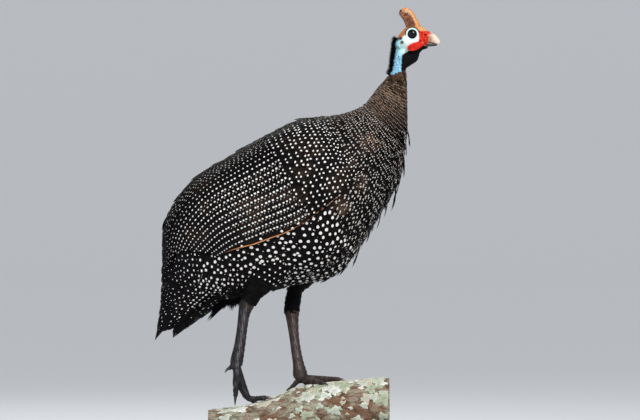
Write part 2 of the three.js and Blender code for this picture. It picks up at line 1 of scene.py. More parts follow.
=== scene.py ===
import math
import bpy
import numpy as np
from numpy import arange, array, clip, concatenate, cos, exp, interp, linspace, maximum, minimum, sin
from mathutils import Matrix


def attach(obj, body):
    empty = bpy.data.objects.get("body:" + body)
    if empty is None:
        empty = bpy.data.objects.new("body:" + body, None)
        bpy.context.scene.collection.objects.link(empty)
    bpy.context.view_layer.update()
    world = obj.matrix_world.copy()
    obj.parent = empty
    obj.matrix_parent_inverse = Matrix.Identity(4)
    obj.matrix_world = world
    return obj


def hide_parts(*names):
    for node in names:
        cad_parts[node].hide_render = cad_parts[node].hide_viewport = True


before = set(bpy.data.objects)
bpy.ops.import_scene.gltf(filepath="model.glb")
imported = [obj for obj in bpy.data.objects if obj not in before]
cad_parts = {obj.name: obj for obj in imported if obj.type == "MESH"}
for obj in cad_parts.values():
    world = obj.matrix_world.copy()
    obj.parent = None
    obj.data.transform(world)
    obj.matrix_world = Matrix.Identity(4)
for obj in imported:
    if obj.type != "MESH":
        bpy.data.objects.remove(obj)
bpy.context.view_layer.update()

# Sizes are in millimetres here and become metres where a mesh is made.
MM = 0.001
TAU = 2 * math.pi
BODY_NAME = "root"

# The body: back x, z, belly x, z and half width, from the tip of the tail's root to the head.
TAIL_ROWS = [
    [-175, 176, -163, 177, 8], [-173.5, 190, -150, 186, 14], [-171, 206, -133, 197, 16.5],
]
BODY_ROWS = [
    [-170, 223, -116, 207, 17], [-169, 258, -95, 215, 29], [-165, 316, -78, 217, 44],
    [-130, 365, -55, 223, 55], [-88, 393, -4, 236, 62], [-43, 419, 48, 249, 64], [5, 440, 84, 294, 61],
    [42, 444, 107, 335, 54], [67, 451, 123, 360, 45], [82, 458, 131, 391, 35], [93, 471, 136, 428, 25.5],
    [102, 483, 136, 460, 18], [111, 493, 135.5, 483, 12.5], [117, 506, 135, 503, 9],
    [118, 517, 140, 509, 8.5], [119.5, 527, 150, 517, 8.5], [121.5, 534, 155.5, 526, 8],
    [125, 541, 157, 535, 8],
]
ROWS = array(TAIL_ROWS + BODY_ROWS, float)
FIRST_ROW = -len(TAIL_ROWS)

# The folded wing on the body: rows and degrees from the back.
WING = {"front": 6.9, "rear": 2.3, "top": 20.0, "bottom": 101.0, "thick": 7.0}
# The part of the body that the wing hides, which needs no feathers.
HIDDEN = {"front": 6.3, "rear": 2.6, "top": 30, "bottom": 92}

# The head from the middle of the eye: x, top, bottom, half width.
EYE = array([142.5, 0.0, 548.0])
HEAD = array([
    [-22, -11.5, -18.5, 3], [-19, -5.6, -21, 7.2], [-14, 2.4, -23, 10.2], [-8.5, 8, -23.5, 12.4],
    [-3.5, 10.2, -23, 13.3], [1.5, 10.8, -21.6, 13.4], [6.5, 10.8, -20.6, 12.4], [11.5, 9.7, -19.6, 10.4],
    [16, 7.2, -18.6, 8.7], [19.6, 4.9, -17.4, 7.6],
])
EYEBALL = {"radius": 7.0, "flat": 0.9, "out": 7.0}
# The lids: their opening's radius, how far out the ring round them lies, and its lean.
LID_OPENING = 5.9
LID_OUT = 11.6
LID_LEAN = 0.1
CASQUE = array([
    [2.2, 6, 9.5, 5.8], [0.6, 12, 8.6, 5.2], [-2.4, 18, 8, 4.7], [-5.8, 24, 7.7, 4.2],
    [-10.8, 28.8, 6.6, 3.5], [-13.6, 32, 3.4, 2],
])
UPPER_BILL = [
    [17.5, -2.3, 7.2, 7.2], [24, -4, 6, 6], [28.2, -5.9, 4.6, 4.6], [32, -8.6, 3, 3], [34.4, -11, 1.3, 1.5],
]
LOWER_BILL = [
    [17.5, -12.6, 2.7, 6.4], [24, -13, 2.1, 5], [28, -13.2, 1.5, 3.6], [31.5, -13.2, 0.8, 1.8],
]
MOUTH = {"x": 20.0, "z": -9.9, "slope": -0.18}
WATTLE = [
    [13, -11.6, 2.4, 1.1, 10.6], [8, -13.8, 4.2, 1.5, 11.8], [2.5, -15.9, 4.8, 1.6, 12.8],
    [-2.5, -17.1, 3.9, 1.4, 13], [-6.2, -17.7, 1.4, 0.9, 13.1],
]
# Lines on the skin of the head, from the middle of the eye: where the black throat and the orange
# crown begin, as x and z.
THROAT_LINE = array([
    [-14, -26], [-10, -24.5], [-7, -23.3], [-5, -21], [0, -19], [7, -16.5], [11, -13.8], [20, -13.6],
])
CROWN_LINE = array([
    [-22, -8], [-17, -5.5], [-13, -4], [-9.5, -2.5], [-8, 2], [-5, 6.3], [0, 7.8], [5, 6.8], [8, 4.5],
    [20, 3],
])
EAR = (-13.0, -10.7)
GAPE = (12.7, -10.8)

# The branch's axis x, z and radius.
BRANCH = array([
    [-112, 47.5, 30.5], [-80, 51.5, 32], [-40, 58.5, 33.5], [0, 70.5, 35.5], [40, 76, 36], [80, 79, 37],
    [114, 80, 38],
])

# Legs from the body down: x, y, z, half depth, half width.
LEGS = {
    "right": {
        "thigh": [
            [-24, -24, 290, 38, 24], [-36, -30, 262, 30, 21], [-48, -30, 241, 20, 16],
            [-57, -27.5, 225, 12.6, 10.8], [-62.6, -25, 212, 9.8, 8.4],
        ],
        "shank": [
            [-64.2, -24.6, 210.5, 9, 7.6], [-67.3, -23.6, 198, 7, 6], [-69.6, -21.6, 181, 6.4, 5.2],
            [-72.6, -19, 160, 6.8, 5.4], [-76.2, -16.9, 142, 7.8, 6.2],
        ],
        "hock": [-60.5, -25, 212.5],
        "ankle": [-77, -16.3, 135],
        "toes": [
            ("middle", 3, [11, 17, 37], [14, 4, 0], 4.1), ("outer", -100, [1.5, 3, 5], [27, 19, 13], 3.8),
            ("inner", 34, [7, 14, 27], [20, 8, 0], 3.6), ("hind", 186, [4, 6.5, 8.5], [49, 49.5, 49], 3.2),
        ],
        # Darker than the left leg's: the shaded copy of one skin colour, painted shade.
        "tone": [0.014, 0.012, 0.014],
        "dust_and_sheen_streak": [0.13, 0.12, 0.135],
        "feathered": 0.74,
    },
    "left": {
        "thigh": [
            [20, 22, 300, 42, 26], [13, 31, 266, 31, 23], [4, 31, 245, 18, 15.5],
            [-3.4, 29.5, 230, 10.4, 10.6], [-6.6, 27.5, 215, 9.3, 8.8], [-7.9, 26, 203, 9.4, 8.2],
        ],
        "shank": [
            [-8, 25.8, 201.5, 9.2, 7.6], [-7.2, 24.8, 190, 7.4, 6.2], [-5.1, 22.4, 170, 6, 5],
            [-2.7, 19.8, 152, 6.1, 5.1], [0.2, 17, 136, 6.8, 5.6], [2.3, 15.4, 123, 8.8, 6.6],
        ],
        "hock": [-5, 25.8, 199.5],
        "ankle": [3, 15, 117.5],
        "toes": [
            ("middle", -2, [14, 30, 49], [3.5, 1.6, 0], 4.2),
            ("outer", 36, [12, 24, 36], [1.5, 0.4, 0], 3.7),
            ("inner", -36, [11, 22, 33], [1.5, 0.4, 0], 3.7), ("hind", 178, [6, 10, 14], [4, 1.6, 0], 3.0),
        ],
        # Lighter and browner than the right leg's: the lit copy of the same skin colour, painted light.
        "tone": [0.030, 0.021, 0.020],
        "dust_and_sheen_streak": [0.15, 0.11, 0.10],
        "feathered": 1.0,
    },
}
CLAW = {"long": 10.0, "hind": 6.5, "fat": 2.1}
# Along a claw: the share of its length, the drop, and its thickness.
CLAW_LINE = [
    (-0.25, 0, 0.9), (0, 0.1, 1), (0.35, 0.4, 0.82), (0.7, -0.5, 0.52), (0.93, -1.5, 0.22), (1.0, -2.0, 0.06),
]

# The long feathers of a wing: how many, the rows and then the degrees of the lowest's and the
# uppermost's root, the same of their tips, width, height at the root and at the tip, tilt and seed.
WING_TIERS = {
    "primaries": (4, [6.0, 5.0], [101, 97], [3.1, 2.6], [102.5, 98.5], 13, -2.2, 0.1, 0.5, 111),
    "secondaries": (14, [6.2, 5.9], [94, 29], [2.45, 0.95], [97.5, 36], 17, -2.2, 0.9, 0.8, 112),
    "tertials": (9, [5.7, 5.6], [33, 13], [1.4, 2.6], [36, 10], 11, -1.6, 1.2, 1.6, 113),
}

# The rufous edge of the folded wing: rows and degrees.
COPPER_LINE = array([[2.86, 102], [3.6, 105.3], [4.3, 105], [4.74, 102.8], [5.3, 101.6], [6, 104]])
# Brown patches on the breast and shoulder: x, z and radius.
BROWN_PATCHES = [(90, 416, 13), (74, 362, 9), (55, 331, 9), (131, 384, 7), (20, 345, 7)]
# Tufts under the rump: the tip's x and z, the root's x and z from there, and the spread at the root.
RUMP_TUFTS = [
    (-94, 204, 7, 19, 2.2), (-88.5, 206, 6, 18, 2), (-83.5, 203, 5, 20, 2.2), (-78.5, 206, 4, 18, 2),
    (-73.5, 208, 3, 17, 2), (-115, 187, 17, 20, 3), (-101, 201, 8, 16, 3), (-108, 198, 10, 16, 3),
]
# The front of the throat, as height below the eye and how far the plain form is drawn in or out.
THROAT_FRONT = array([[-44, 1], [-36, 1.2], [-32, 1.06], [-28.7, 0.95], [-23.5, 0.87], [-18.7, 1]])
# Clusters of loose feathers that hang from the breast and belly, and that lift off the back: the row
# of the tips, how far they stand off there, and how long they are.
HANGING = [
    (9.55, 8, 26), (9.2, 4, 22), (8.45, 8, 30), (8.0, 4, 24), (7.6, 6, 26), (7.1, 13, 36), (6.75, 9, 30),
    (6.35, 8, 32), (5.9, 5, 26), (5.35, 8, 32), (5.0, 4, 26), (4.5, 4, 26), (3.8, 3, 22), (3.0, 3, 20),
    (2.3, 5, 24), (1.7, 6, 28), (1.0, 5, 26),
]
LIFTED = [
    (5.75, 4.5, 34), (5.3, 1.6, 26), (4.15, 4, 36), (3.5, 2, 32), (2.9, 3, 36), (2.3, 3.4, 38),
    (1.7, 2.8, 34),
]
# The floor's curve in metres: how far out, and how high.
FLOOR = [(0.5, 0), (1.5, 0), (3, 0), (5.2, 0), (6, 0.12), (6.7, 0.5), (7.2, 1.3), (7.5, 2.8), (7.6, 5)]
SIDES = (("right", -1), ("left", 1))
ACROSS = array([0.0, 1.0, 0.0])
# The coat's unwrap: how many rows its height stands for, and a feather's patch, as width and length.
UNWRAP_ROWS = 21.0
PATCH = (0.0014, 0.0028)
# The voxels of the head's and the legs' skin.
HEAD_VOXEL, LEG_VOXEL = 0.5, 0.42

DARK = array([0.0048, 0.0042, 0.0048])
BROWN = array([0.062, 0.036, 0.022])
RUFOUS = array([0.40, 0.17, 0.075])
WHITE = array([0.80, 0.86, 0.86])
PALE_GREEN = array([0.52, 0.70, 0.66])
CYAN = array([0.36, 0.70, 0.72])
BLUE = array([0.18, 0.44, 0.62])
RED = array([0.52, 0.020, 0.010])
# A paler red, partly the skin's own paler patches and partly painted highlight.
PALE_RED_AND_SHEEN = array([0.62, 0.13, 0.06])
GAPE_SKIN = array([0.50, 0.40, 0.33])
CROWN = array([0.42, 0.15, 0.048])
TAN = array([0.62, 0.29, 0.13])
BLACK = array([0.0025, 0.0025, 0.003])
EYE_RING = (WHITE + CYAN) / 2
IRIS = array([0.009, 0.004, 0.003])
# The dark rust-brown here is partly painted shade, and the pale edge colour partly painted light.
CASQUE_ORANGE, CASQUE_HORN, CASQUE_RUST_SHADE, CASQUE_PALE_LIT_EDGE = array([
    [0.42, 0.115, 0.010], [0.47, 0.215, 0.09], [0.085, 0.014, 0.002], [0.60, 0.25, 0.045],
])
# The lower bill's near black is painted shade.
BILL_ROOT, BILL_TIP, BILL_LOWER_SHADE = array([[0.34, 0.16, 0.10], [0.72, 0.60, 0.49], [0.02, 0.015, 0.014]])
# The pale and the dark claw tips are lit and shaded copies of one colour: painted light and shade.
CLAW_ROOT, CLAW_PALE_LIT, CLAW_DARK_SHADED = array([[0.02, 0.016, 0.015], [0.50, 0.45, 0.42], [0.05, 0.045, 0.042]])
BARK_WARM, BARK_GREY, BARK_CRUST, CUT_WOOD = array([
    [0.17, 0.090, 0.050], [0.27, 0.21, 0.155], [0.42, 0.48, 0.36], [0.42, 0.30, 0.18],
])
LICHEN_TONES = array([
    [0.50, 0.54, 0.45], [0.66, 0.68, 0.62], [0.38, 0.42, 0.30], [0.52, 0.49, 0.38],
])

rng = np.random.default_rng(7)


# Helpers

def read_rows(rows, at):
    """A row of numbers at a place between rows, on a smooth curve through them."""
    rows = np.asarray(rows, float)
    last = len(rows) - 1
    at = clip(np.asarray(at, float), 0, last)
    i = minimum(at.astype(int), last - 1)
    t = (at - i)[..., None]
    a, b, d, e = (rows[clip(i + k, 0, last)] for k in (-1, 0, 1, 2))
    s = t * t
    rise, fall = (d - a) / 2, (e - b) / 2
    between = b * (1 - 3 * s + 2 * s * t) + d * (3 * s - 2 * s * t)
    return between + rise * (t - 2 * s + s * t) + fall * (s * t - s)


def ease(t):
    t = clip(t, 0, 1)
    return t * t * (3 - 2 * t)


def band(value, low, high, soft):
    """1 between low and high, with soft edges."""
    return ease((value - low) / soft + 0.5) * ease((high - value) / soft + 0.5)


def ripple(points, scale, seed, waves=9):
    """Smooth noise about 0, between about -1 and 1, of a given scale in millimetres."""
    draw = np.random.default_rng(seed)
    total = np.zeros(points.shape[:-1])
    for _ in range(waves):
        way = draw.normal(size=3)
        way *= TAU / (np.linalg.norm(way) * scale * draw.uniform(0.6, 1.5))
        total += sin(points @ way + draw.uniform(0, TAU))
    return total / (waves ** 0.5 * 1.2)


def blotches(points, scale, seed, low, soft, waves=9):
    """1 where that noise is well above low, and 0 below it."""
    return ease((ripple(points, scale, seed, waves) - low) / soft)


def mixed(colours, other, amount):
    """Colours drawn towards another by an amount at each point."""
    return colours + (other - colours) * amount[..., None]


def mottled(colours, points, amount, scale, seed):
    """Colours made lighter and darker by noise."""
    return colours * (1 + amount * ripple(points, scale, seed))[..., None]


def shared(*values):
    """Numbers and arrays brought to one shape."""
    return np.broadcast_arrays(*(np.asarray(value, float) for value in values))


def stacked(*parts):
    """Coordinates brought together as points."""
    return np.stack(np.broadcast_arrays(*parts), -1)


def unit(ways):
    return ways / np.linalg.norm(ways, axis=-1, keepdims=True)


def round_grid(start, end, steps, sides):
    """A grid of places that goes from start to end one way and all the way round the other."""
    around = linspace(0, TAU, sides, endpoint=False)
    return np.meshgrid(linspace(start, end, steps), around, indexing="ij")


def make_mesh(name, verts, faces, material, replaced=(), colours=None, uv=None):
    """A piece from millimetre points and a list of face arrays, riding on the body."""
    verts = np.asarray(verts, float).reshape(-1, 3)
    loops = concatenate([np.ravel(f) for f in faces]).astype(np.int32)
    sizes = concatenate([np.full(len(f), f.shape[1]) for f in faces])
    mesh = bpy.data.meshes.new(name)
    mesh.vertices.add(len(verts))
    mesh.vertices.foreach_set("co", (verts * MM).astype(np.float32).ravel())
    mesh.loops.add(len(loops))
    mesh.loops.foreach_set("vertex_index", loops)
    mesh.polygons.add(len(sizes))
    mesh.polygons.foreach_set("loop_start", (np.cumsum(sizes) - sizes).astype(np.int32))
    mesh.polygons.foreach_set("use_smooth", np.ones(len(sizes), bool))
    mesh.update(calc_edges=True)
    if colours is not None:
        flat = np.ones((len(verts), 4), np.float32)
        flat[:, :3] = clip(colours, 0, 1).reshape(-1, 3)
        mesh.color_attributes.new("tint", "FLOAT_COLOR", "POINT").data.foreach_set("color", flat.ravel())
    if uv is not None:
        layer = mesh.uv_layers.new(name="OFBake")
        layer.data.foreach_set("uv", np.asarray(uv, np.float32).reshape(-1, 2)[loops].ravel())
    piece = bpy.data.objects.new(name, mesh)
    bpy.context.scene.collection.objects.link(piece)
    mesh.materials.append(material)
    if replaced:
        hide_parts(*replaced)
    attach(piece, BODY_NAME)


def grid_faces(rows, columns, around=False):
    """Quads of a grid of points, closed round if asked."""
    r, c = np.meshgrid(arange(rows - 1), arange(columns if around else columns - 1), indexing="ij")
    here, beside = r * columns + c, r * columns + (c + 1) % columns
    return np.stack([here, beside, beside + columns, here + columns], -1).reshape(-1, 4)


def repeated(faces, count, points):
    """The faces of one form for count copies of it, each of so many points."""
    return (faces[None] + (arange(count) * points)[:, None, None]).reshape(-1, faces.shape[1])


def facing(points, quads):
    """The way each quad faces, longer for larger ones."""
    a, b, c, d = (points[quads[:, k]] for k in range(4))
    return np.cross(c - a, d - b)


def tube(grid):
    """Points and faces of a closed tube from rings of points, shape (rings, sides, 3)."""
    rings, sides = grid.shape[:2]
    count = rings * sides
    verts = concatenate([grid.reshape(-1, 3), [grid[0].mean(0), grid[-1].mean(0)]])
    k = arange(sides)
    nxt = (k + 1) % sides
    first = np.stack([np.full(sides, count), nxt, k], -1)
    last = np.stack([np.full(sides, count + 1), count - sides + k, count - sides + nxt], -1)
    quads = grid_faces(rings, sides, around=True)
    outwards = verts[quads].mean(1) - grid.mean(1).repeat(sides, 0)[: len(quads)]
    if (outwards * facing(verts, quads)).sum() < 0:
        quads, first, last = quads[:, ::-1], first[:, ::-1], last[:, ::-1]
    return verts, [quads, concatenate([first, last])]


def merged(parts):
    """Several (points, faces) as one."""
    verts, faces, start = [], [], 0
    for points, lists in parts:
        verts.append(points)
        faces.extend(np.asarray(f) + start for f in lists)
        start += len(points)
    return concatenate(verts), faces


# Surfaces that feathers lie on. Each takes (u, v, height) and gives points.

def section_frame(row):
    """The body's middle at a row, the way up there, and its half depth and half width."""
    back_x, back_z, belly_x, belly_z, wide = np.moveaxis(read_rows(ROWS, row - FIRST_ROW), -1, 0)
    up = stacked(back_x - belly_x, 0, back_z - belly_z)
    deep = np.linalg.norm(up, axis=-1) / 2
    middle = stacked((back_x + belly_x) / 2, 0, (back_z + belly_z) / 2)
    return middle, up / (2 * deep[..., None]), deep, wide


def on_body(row, angle, height=0.0):
    """The body at a row, the angle from the back, and so far off it."""
    row, angle, height = shared(row, angle, height)
    middle, up, deep, wide = section_frame(row)
    out_up, out_side = cos(angle) / deep, sin(angle) / wide
    lift = height / np.hypot(out_up, out_side)
    rise, aside = cos(angle) * deep + out_up * lift, sin(angle) * wide + out_side * lift
    return middle + rise[..., None] * up + aside[..., None] * ACROSS


def wing_height(row, angle):
    """How far the folded wing stands off the body, at an angle in degrees from the back."""
    t = (WING["front"] - row) / (WING["front"] - WING["rear"])
    front = np.sqrt(maximum(t, 0) / 0.16 + 0.04)
    rear = np.sqrt(maximum(1 - t, 0) / 0.3 + 0.1)
    swell = minimum(1, minimum(front, rear))
    across = clip((angle - WING["top"]) / (WING["bottom"] - WING["top"]), 0, 1)
    return 1.35 + WING["thick"] * swell * sin(math.pi * across) ** 0.6


def on_wing(row, angle, height=0.0):
    """The same on the wing, where the angle's sign says which side."""
    return on_body(row, angle, height + wing_height(np.asarray(row, float), np.degrees(np.abs(angle))))


def on_limb(rows):
    """A limb's surface: u from 0 at the top to 1, v the angle from the front."""
    def surface(u, v, height=0.0):
        u, v, height = shared(u, v, height)
        centre, depth, side, row = limb_frame(rows, u)
        ahead, aside = cos(v) * (row[..., 3] + height), sin(v) * (row[..., 4] + height)
        return centre + ahead[..., None] * depth + aside[..., None] * side
    return surface


def limb_frame(rows, u):
    """A limb's middle, the ways to its front and its side, and its row of numbers."""
    last = len(rows) - 1
    row = read_rows(rows, u * last)
    after, before = (read_rows(rows, clip(u + step, 0, 1) * last) for step in (0.01, -0.01))
    along = unit(after[..., :3] - before[..., :3])
    side = unit(ACROSS - along * along[..., 1:2])
    return row[..., :3], np.cross(along, side), side, row


def limb_tube(rows, sides, steps, shape=None):
    u, v = round_grid(0, 1, steps + 1, sides)
    points = on_limb(rows)(u, v)
    if shape is not None:
        centre = limb_frame(rows, u)[0]
        points = centre + (points - centre) * shape(u, v)[..., None]
    return points


def tip_rounded(grid, start, least):
    """A tube's grid with its end rounded over, from a share of its length on."""
    u = linspace(0, 1, len(grid))
    close = np.sqrt(maximum(1 - clip((u - start) / (1 - start), 0, 1) ** 2, least))
    centre = grid.mean(1, keepdims=True)
    return centre + (grid - centre) * close[:, None, None]


# Feathers

def metric(surface, u, v, step=0.02):
    """Millimetres per unit of u and of v."""
    here = surface(u, v)
    there = surface(u + step, v), surface(u, v + step)
    return [np.linalg.norm(point - here, axis=-1) / step for point in there]


def vane_width(s, blunt):
    """A vane's width along its length, 1 at the widest."""
    root = 0.45 + 0.55 * sin(math.pi / 2 * clip(s / 0.4, 0, 1))
    tip = np.sqrt(maximum(1 - clip((s - blunt) / (1 - blunt), 0, 1) ** 2.2, 0.004))
    return root * tip


def vane_point(f, s, c, extra=0.0):
    """A point on each feather in f: s from root to tip, c from edge to edge."""
    def col(key):
        value = np.asarray(f[key], float)
        return value.reshape(value.shape + (1,) * (s.ndim - 1)) if value.ndim else value
    shape = vane_width(s, f["blunt"])
    u = col("u0") + (col("u1") - col("u0")) * s
    middle = col("v0") + (col("v1") - col("v0")) * s + col("bend") * s * s
    v = middle + c * (col("wide") / 2 * shape) / col("per_v")
    rise = col("h0") + (col("h1") - col("h0")) * sin(math.pi / 2 * s) ** 1.2
    return f["surface"](u, v, rise + col("camber") * (1 - c * c) * shape + col("tilt") * c + extra)


def feather_set(surface, u0, v0, long, wide, rise, spread=0.0, low=-2.2, blunt=0.55, camber=0.8, seed=1,
                direction=-1):
    """Feathers rooted at u0, v0 that run along u, each with a little chance in size and lie.

    The set holds one value for all, or arrays of one value a feather: where on the surface each
    starts and ends, its length, width and heights above the surface, how it bends, and its shade.
    """
    draw = np.random.default_rng(seed)
    count = len(u0)
    per_u, per_v = metric(surface, u0, v0)
    long = long * draw.uniform(0.9, 1.1, count)
    return {
        "surface": surface, "u0": u0, "v0": v0, "u1": u0 + direction * long / per_u,
        "v1": v0 + spread * draw.normal(0, 1, count) / per_v, "per_v": per_v, "long": long,
        "wide": wide * draw.uniform(0.92, 1.08, count), "h0": low, "h1": rise + draw.normal(0, 0.14, count),
        "camber": camber, "tilt": draw.normal(0, 0.14, count), "bend": draw.normal(0, 0.01, count),
        "blunt": blunt, "shade": draw.uniform(0.65, 1.35, count),
    }


def bake_patch(f, s, c):
    """Where a feather lies on the coat's own unwrap: a small patch at its root."""
    shape = (-1,) + (1,) * (s.ndim - 1)
    across, along = (f["v0"] / TAU % 1.0).reshape(shape), ((f["u0"] - FIRST_ROW) / UNWRAP_ROWS).reshape(shape)
    return stacked(across * 0.98 + 0.01 + c * PATCH[0], along * 0.98 + 0.01 + (s - 0.5) * PATCH[1])


def shaded(colour, s, shade, low, gain):
    """A feather's own shade, which lightens towards its tip."""
    return colour * (shade * (low + gain * s))[..., None]


def plain_shades(points, s, c, shade):
    return shaded(DARK, s, shade, 0.7, 0.5)


def vanes(name, f, along, across, tint=plain_shades, ragged=0.05, replaced=()):
    """One mesh of all the feathers in f."""
    count = len(f["u0"])
    draw = np.random.default_rng(3)
    steps = sin(linspace(0, math.pi / 2, along + 1))
    s, c = np.meshgrid(steps, linspace(-1, 1, across + 1), indexing="ij")
    fray = np.abs(draw.normal(0, ragged, (count, 1, across + 1)))
    s = s * (1 - fray * s ** 3 * 1.4)
    c = c * (1 + draw.normal(0, ragged, s.shape) * (np.abs(c) > 0.9))
    ridge = np.where(np.abs(c) < 0.05, 0.12, 0.0)
    points = vane_point(f, s, c, ridge)
    faces = repeated(grid_faces(along + 1, across + 1), count, s[0].size)
    colours = tint(points, s, c, f["shade"][:, None, None])
    make_mesh(name, points, [faces], FEATHER, replaced, colours, bake_patch(f, s, c))


def chosen(f, which):
    """The same set with only some of its feathers."""
    return {k: (v[which] if isinstance(v, np.ndarray) and v.ndim else v) for k, v in f.items()}


def spot_discs(f, s, c, long, wide, sides=10, loose=1.0, seed=5, lift=0.16, turn=0.0):
    """Pale discs on the feathers in f, at s and c, in millimetres along and across, turned in degrees."""
    count = len(f["u0"])
    draw = np.random.default_rng(seed)
    s = s + draw.normal(0, 0.012 * loose, count)
    c = c + draw.normal(0, 0.03 * loose, count)
    grow = draw.uniform(0.85, 1.12, count)
    angle = linspace(0, TAU, sides, endpoint=False)
    half = f["wide"] / 2 * vane_width(s, f["blunt"])
    ahead = (long * grow / 2)[:, None] * cos(angle)
    aside = (wide * grow / 2)[:, None] * sin(angle)
    lean = math.radians(turn)
    ds = (ahead * math.cos(lean) - aside * math.sin(lean)) / f["long"][:, None]
    dc = (ahead * math.sin(lean) + aside * math.cos(lean)) / half[:, None]
    s, c = (at[:, None] + concatenate([d[:, :1] * 0, d], 1) for at, d in ((s, ds), (c, dc)))
    dome = array([lift + 0.07] + [lift] * sides)
    k = arange(sides)
    fan = np.stack([0 * k, 1 + k, 1 + (k + 1) % sides], -1)
    points = vane_point(f, s, c, dome)
    return points.reshape(-1, 3), [repeated(fan, count, sides + 1)], bake_patch(f, s, c).reshape(-1, 2)


def spots_piece(name, discs, material):
    verts, faces = merged([disc[:2] for disc in discs])
    make_mesh(name, verts, faces, material, uv=concatenate([disc[2] for disc in discs]))


def ring_layout(surface, u, end, gap_u, gap_v, seed, keep=None, loose=0.06):
    """Staggered places all round a surface from u to end, so far apart along it and across it."""
    draw = np.random.default_rng(seed)
    us, vs = [], []
    while end > u:
        per_u, per_v = metric(surface, np.full(49, u), linspace(-math.pi, math.pi, 49))
        count = max(3, int(round(per_v.mean() * TAU / gap_v(u))))
        place = (arange(count) + 0.5 * (len(us) % 2) + 0.25) / count
        vs.append(-math.pi + TAU * place + draw.normal(0, loose, count) * TAU / count)
        us.append(u + draw.normal(0, loose, count) * gap_u(u) / per_u.mean())
        u += gap_u(u) / per_u.mean()
    us, vs = concatenate(us), concatenate(vs)
    which = keep(us, vs) if keep else slice(None)
    return us[which], vs[which]


def lattice(rows, count, v_from, v_to):
    """Places in long lines, the same count in every row, every second row a little aside."""
    i, j = np.meshgrid(arange(len(rows)), arange(count), indexing="ij")
    return rows[i].ravel(), (v_from + (v_to - v_from) * (j + 0.25 * (i % 2)) / count).ravel()


# Materials

def principled(name, base, roughness, **sockets):
    material = bpy.data.materials.new(name)
    material.use_nodes = True
    shader = material.node_tree.nodes["Principled BSDF"]
    shader.inputs["Base Color"].default_value = (*base, 1)
    shader.inputs["Roughness"].default_value = roughness
    for key, value in sockets.items():
        shader.inputs[key.replace("_", " ")].default_value = value
    return material


def tinted(name, roughness, bump=0.0, scale=900.0, detail=3.0, **sockets):
    """A material whose colour is the piece's own tint, with a fine bump."""
    material = principled(name, (0.5, 0.5, 0.5), roughness, **sockets)
    nodes, links = material.node_tree.nodes, material.node_tree.links
    shader = nodes["Principled BSDF"]
    tint = nodes.new("ShaderNodeAttribute")
    tint.attribute_name = "tint"
    links.new(tint.outputs["Color"], shader.inputs["Base Color"])
    if bump:
        noise = nodes.new("ShaderNodeTexNoise")
        noise.inputs["Scale"].default_value = scale
        noise.inputs["Detail"].default_value = detail
        place = nodes.new("ShaderNodeTexCoord")
        links.new(place.outputs["Object"], noise.inputs["Vector"])
        relief = nodes.new("ShaderNodeBump")
        relief.inputs["Strength"].default_value = bump
        relief.inputs["Distance"].default_value = 0.0004
        links.new(noise.outputs["Fac"], relief.inputs["Height"])
        links.new(relief.outputs["Normal"], shader.inputs["Normal"])
    return material


FEATHER = tinted("feather", 0.7, bump=0.25, scale=2600, Specular_IOR_Level=0.05)
SPOT = principled("white_spot", (0.74, 0.72, 0.69), 0.8)
GREY_SPOT = principled("grey_spot", (0.46, 0.43, 0.40), 0.8)
BROWN_SPOT = principled("brown_spot", (0.30, 0.235, 0.18), 0.8)
SKIN = tinted("skin", 0.6, bump=0.35, scale=1400, Specular_IOR_Level=0.07)
HORN = tinted("horn", 0.42, bump=0.15, scale=700)
LEG = tinted("leg_skin", 0.6, bump=0.3, scale=1300, Specular_IOR_Level=0.2)
BARK = tinted("bark", 0.9, bump=0.7, scale=420, detail=6)
LICHEN = tinted("lichen", 0.95, bump=0.6, scale=900, detail=5)
EYE_GLOSS = tinted("eye", 0.14, Coat_Weight=0.25, Coat_Roughness=0.05, Specular_IOR_Level=0.14)
PLATE = principled("stand_plate", (0.035, 0.028, 0.024), 0.38)
STEEL = principled("stand_steel", (0.45, 0.45, 0.47), 0.3, Metallic=1.0)


# Skin

def remeshed(verts, faces, voxel):
    """The union of closed forms, as a fine even mesh: points and faces."""
    mesh = bpy.data.meshes.new("rough")
    mesh.from_pydata((verts * MM).tolist(), [], [corners for f in faces for corners in f.tolist()])
    rough = bpy.data.objects.new("rough", mesh)
    bpy.context.scene.collection.objects.link(rough)
    change = rough.modifiers.new("fuse", "REMESH")
    change.mode = "VOXEL"
    change.voxel_size = voxel * MM
    made = rough.evaluated_get(bpy.context.evaluated_depsgraph_get()).to_mesh()
    points = np.zeros(len(made.vertices) * 3, np.float32)
    made.vertices.foreach_get("co", points)
    quads = np.zeros(len(made.polygons) * 4, np.int32)
    made.polygons.foreach_get("vertices", quads)
    bpy.data.objects.remove(rough)
    bpy.data.meshes.remove(mesh)
    return points.reshape(-1, 3).astype(float) / MM, quads.reshape(-1, 4)


def smoothed(points, quads, times):
    """Each point moved towards the middle of its neighbours."""
    edges = concatenate([quads[:, [a, (a + 1) % 4]] for a in range(4)])
    first, second = concatenate([edges, edges[:, ::-1]]).T
    share = np.bincount(first, minlength=len(points))[:, None]
    for _ in range(times):
        total = stacked(*(np.bincount(first, points[second, k], len(points)) for k in range(3)))
        points = points * 0.4 + total / share * 0.6
    return points


def point_normals(points, quads):
    across = facing(points, quads)
    total = np.zeros_like(points)
    for k in range(4):
        np.add.at(total, quads[:, k], across)
    return total / maximum(np.linalg.norm(total, axis=1, keepdims=True), 1e-12)


def away(p, x=0.0, z=0.0):
    """How far points are from a place on the side of the head, both from the middle of the eye."""
    return np.hypot(p[:, 0] - x, p[:, 2] - z)


def head_form():
    """The plain head, without the creases and the eyes' rings."""
    t, angle = round_grid(0, 1, 60, 72)
    x, top, bottom, wide = np.moveaxis(read_rows(HEAD, t * (len(HEAD) - 1)), -1, 0)
    narrow = 1 - 0.22 * maximum(0, -cos(angle))
    rise = EYE[2] + (top + bottom) / 2 + cos(angle) * (top - bottom) / 2
    return stacked(EYE[0] + x, sin(angle) * wide * narrow, rise)


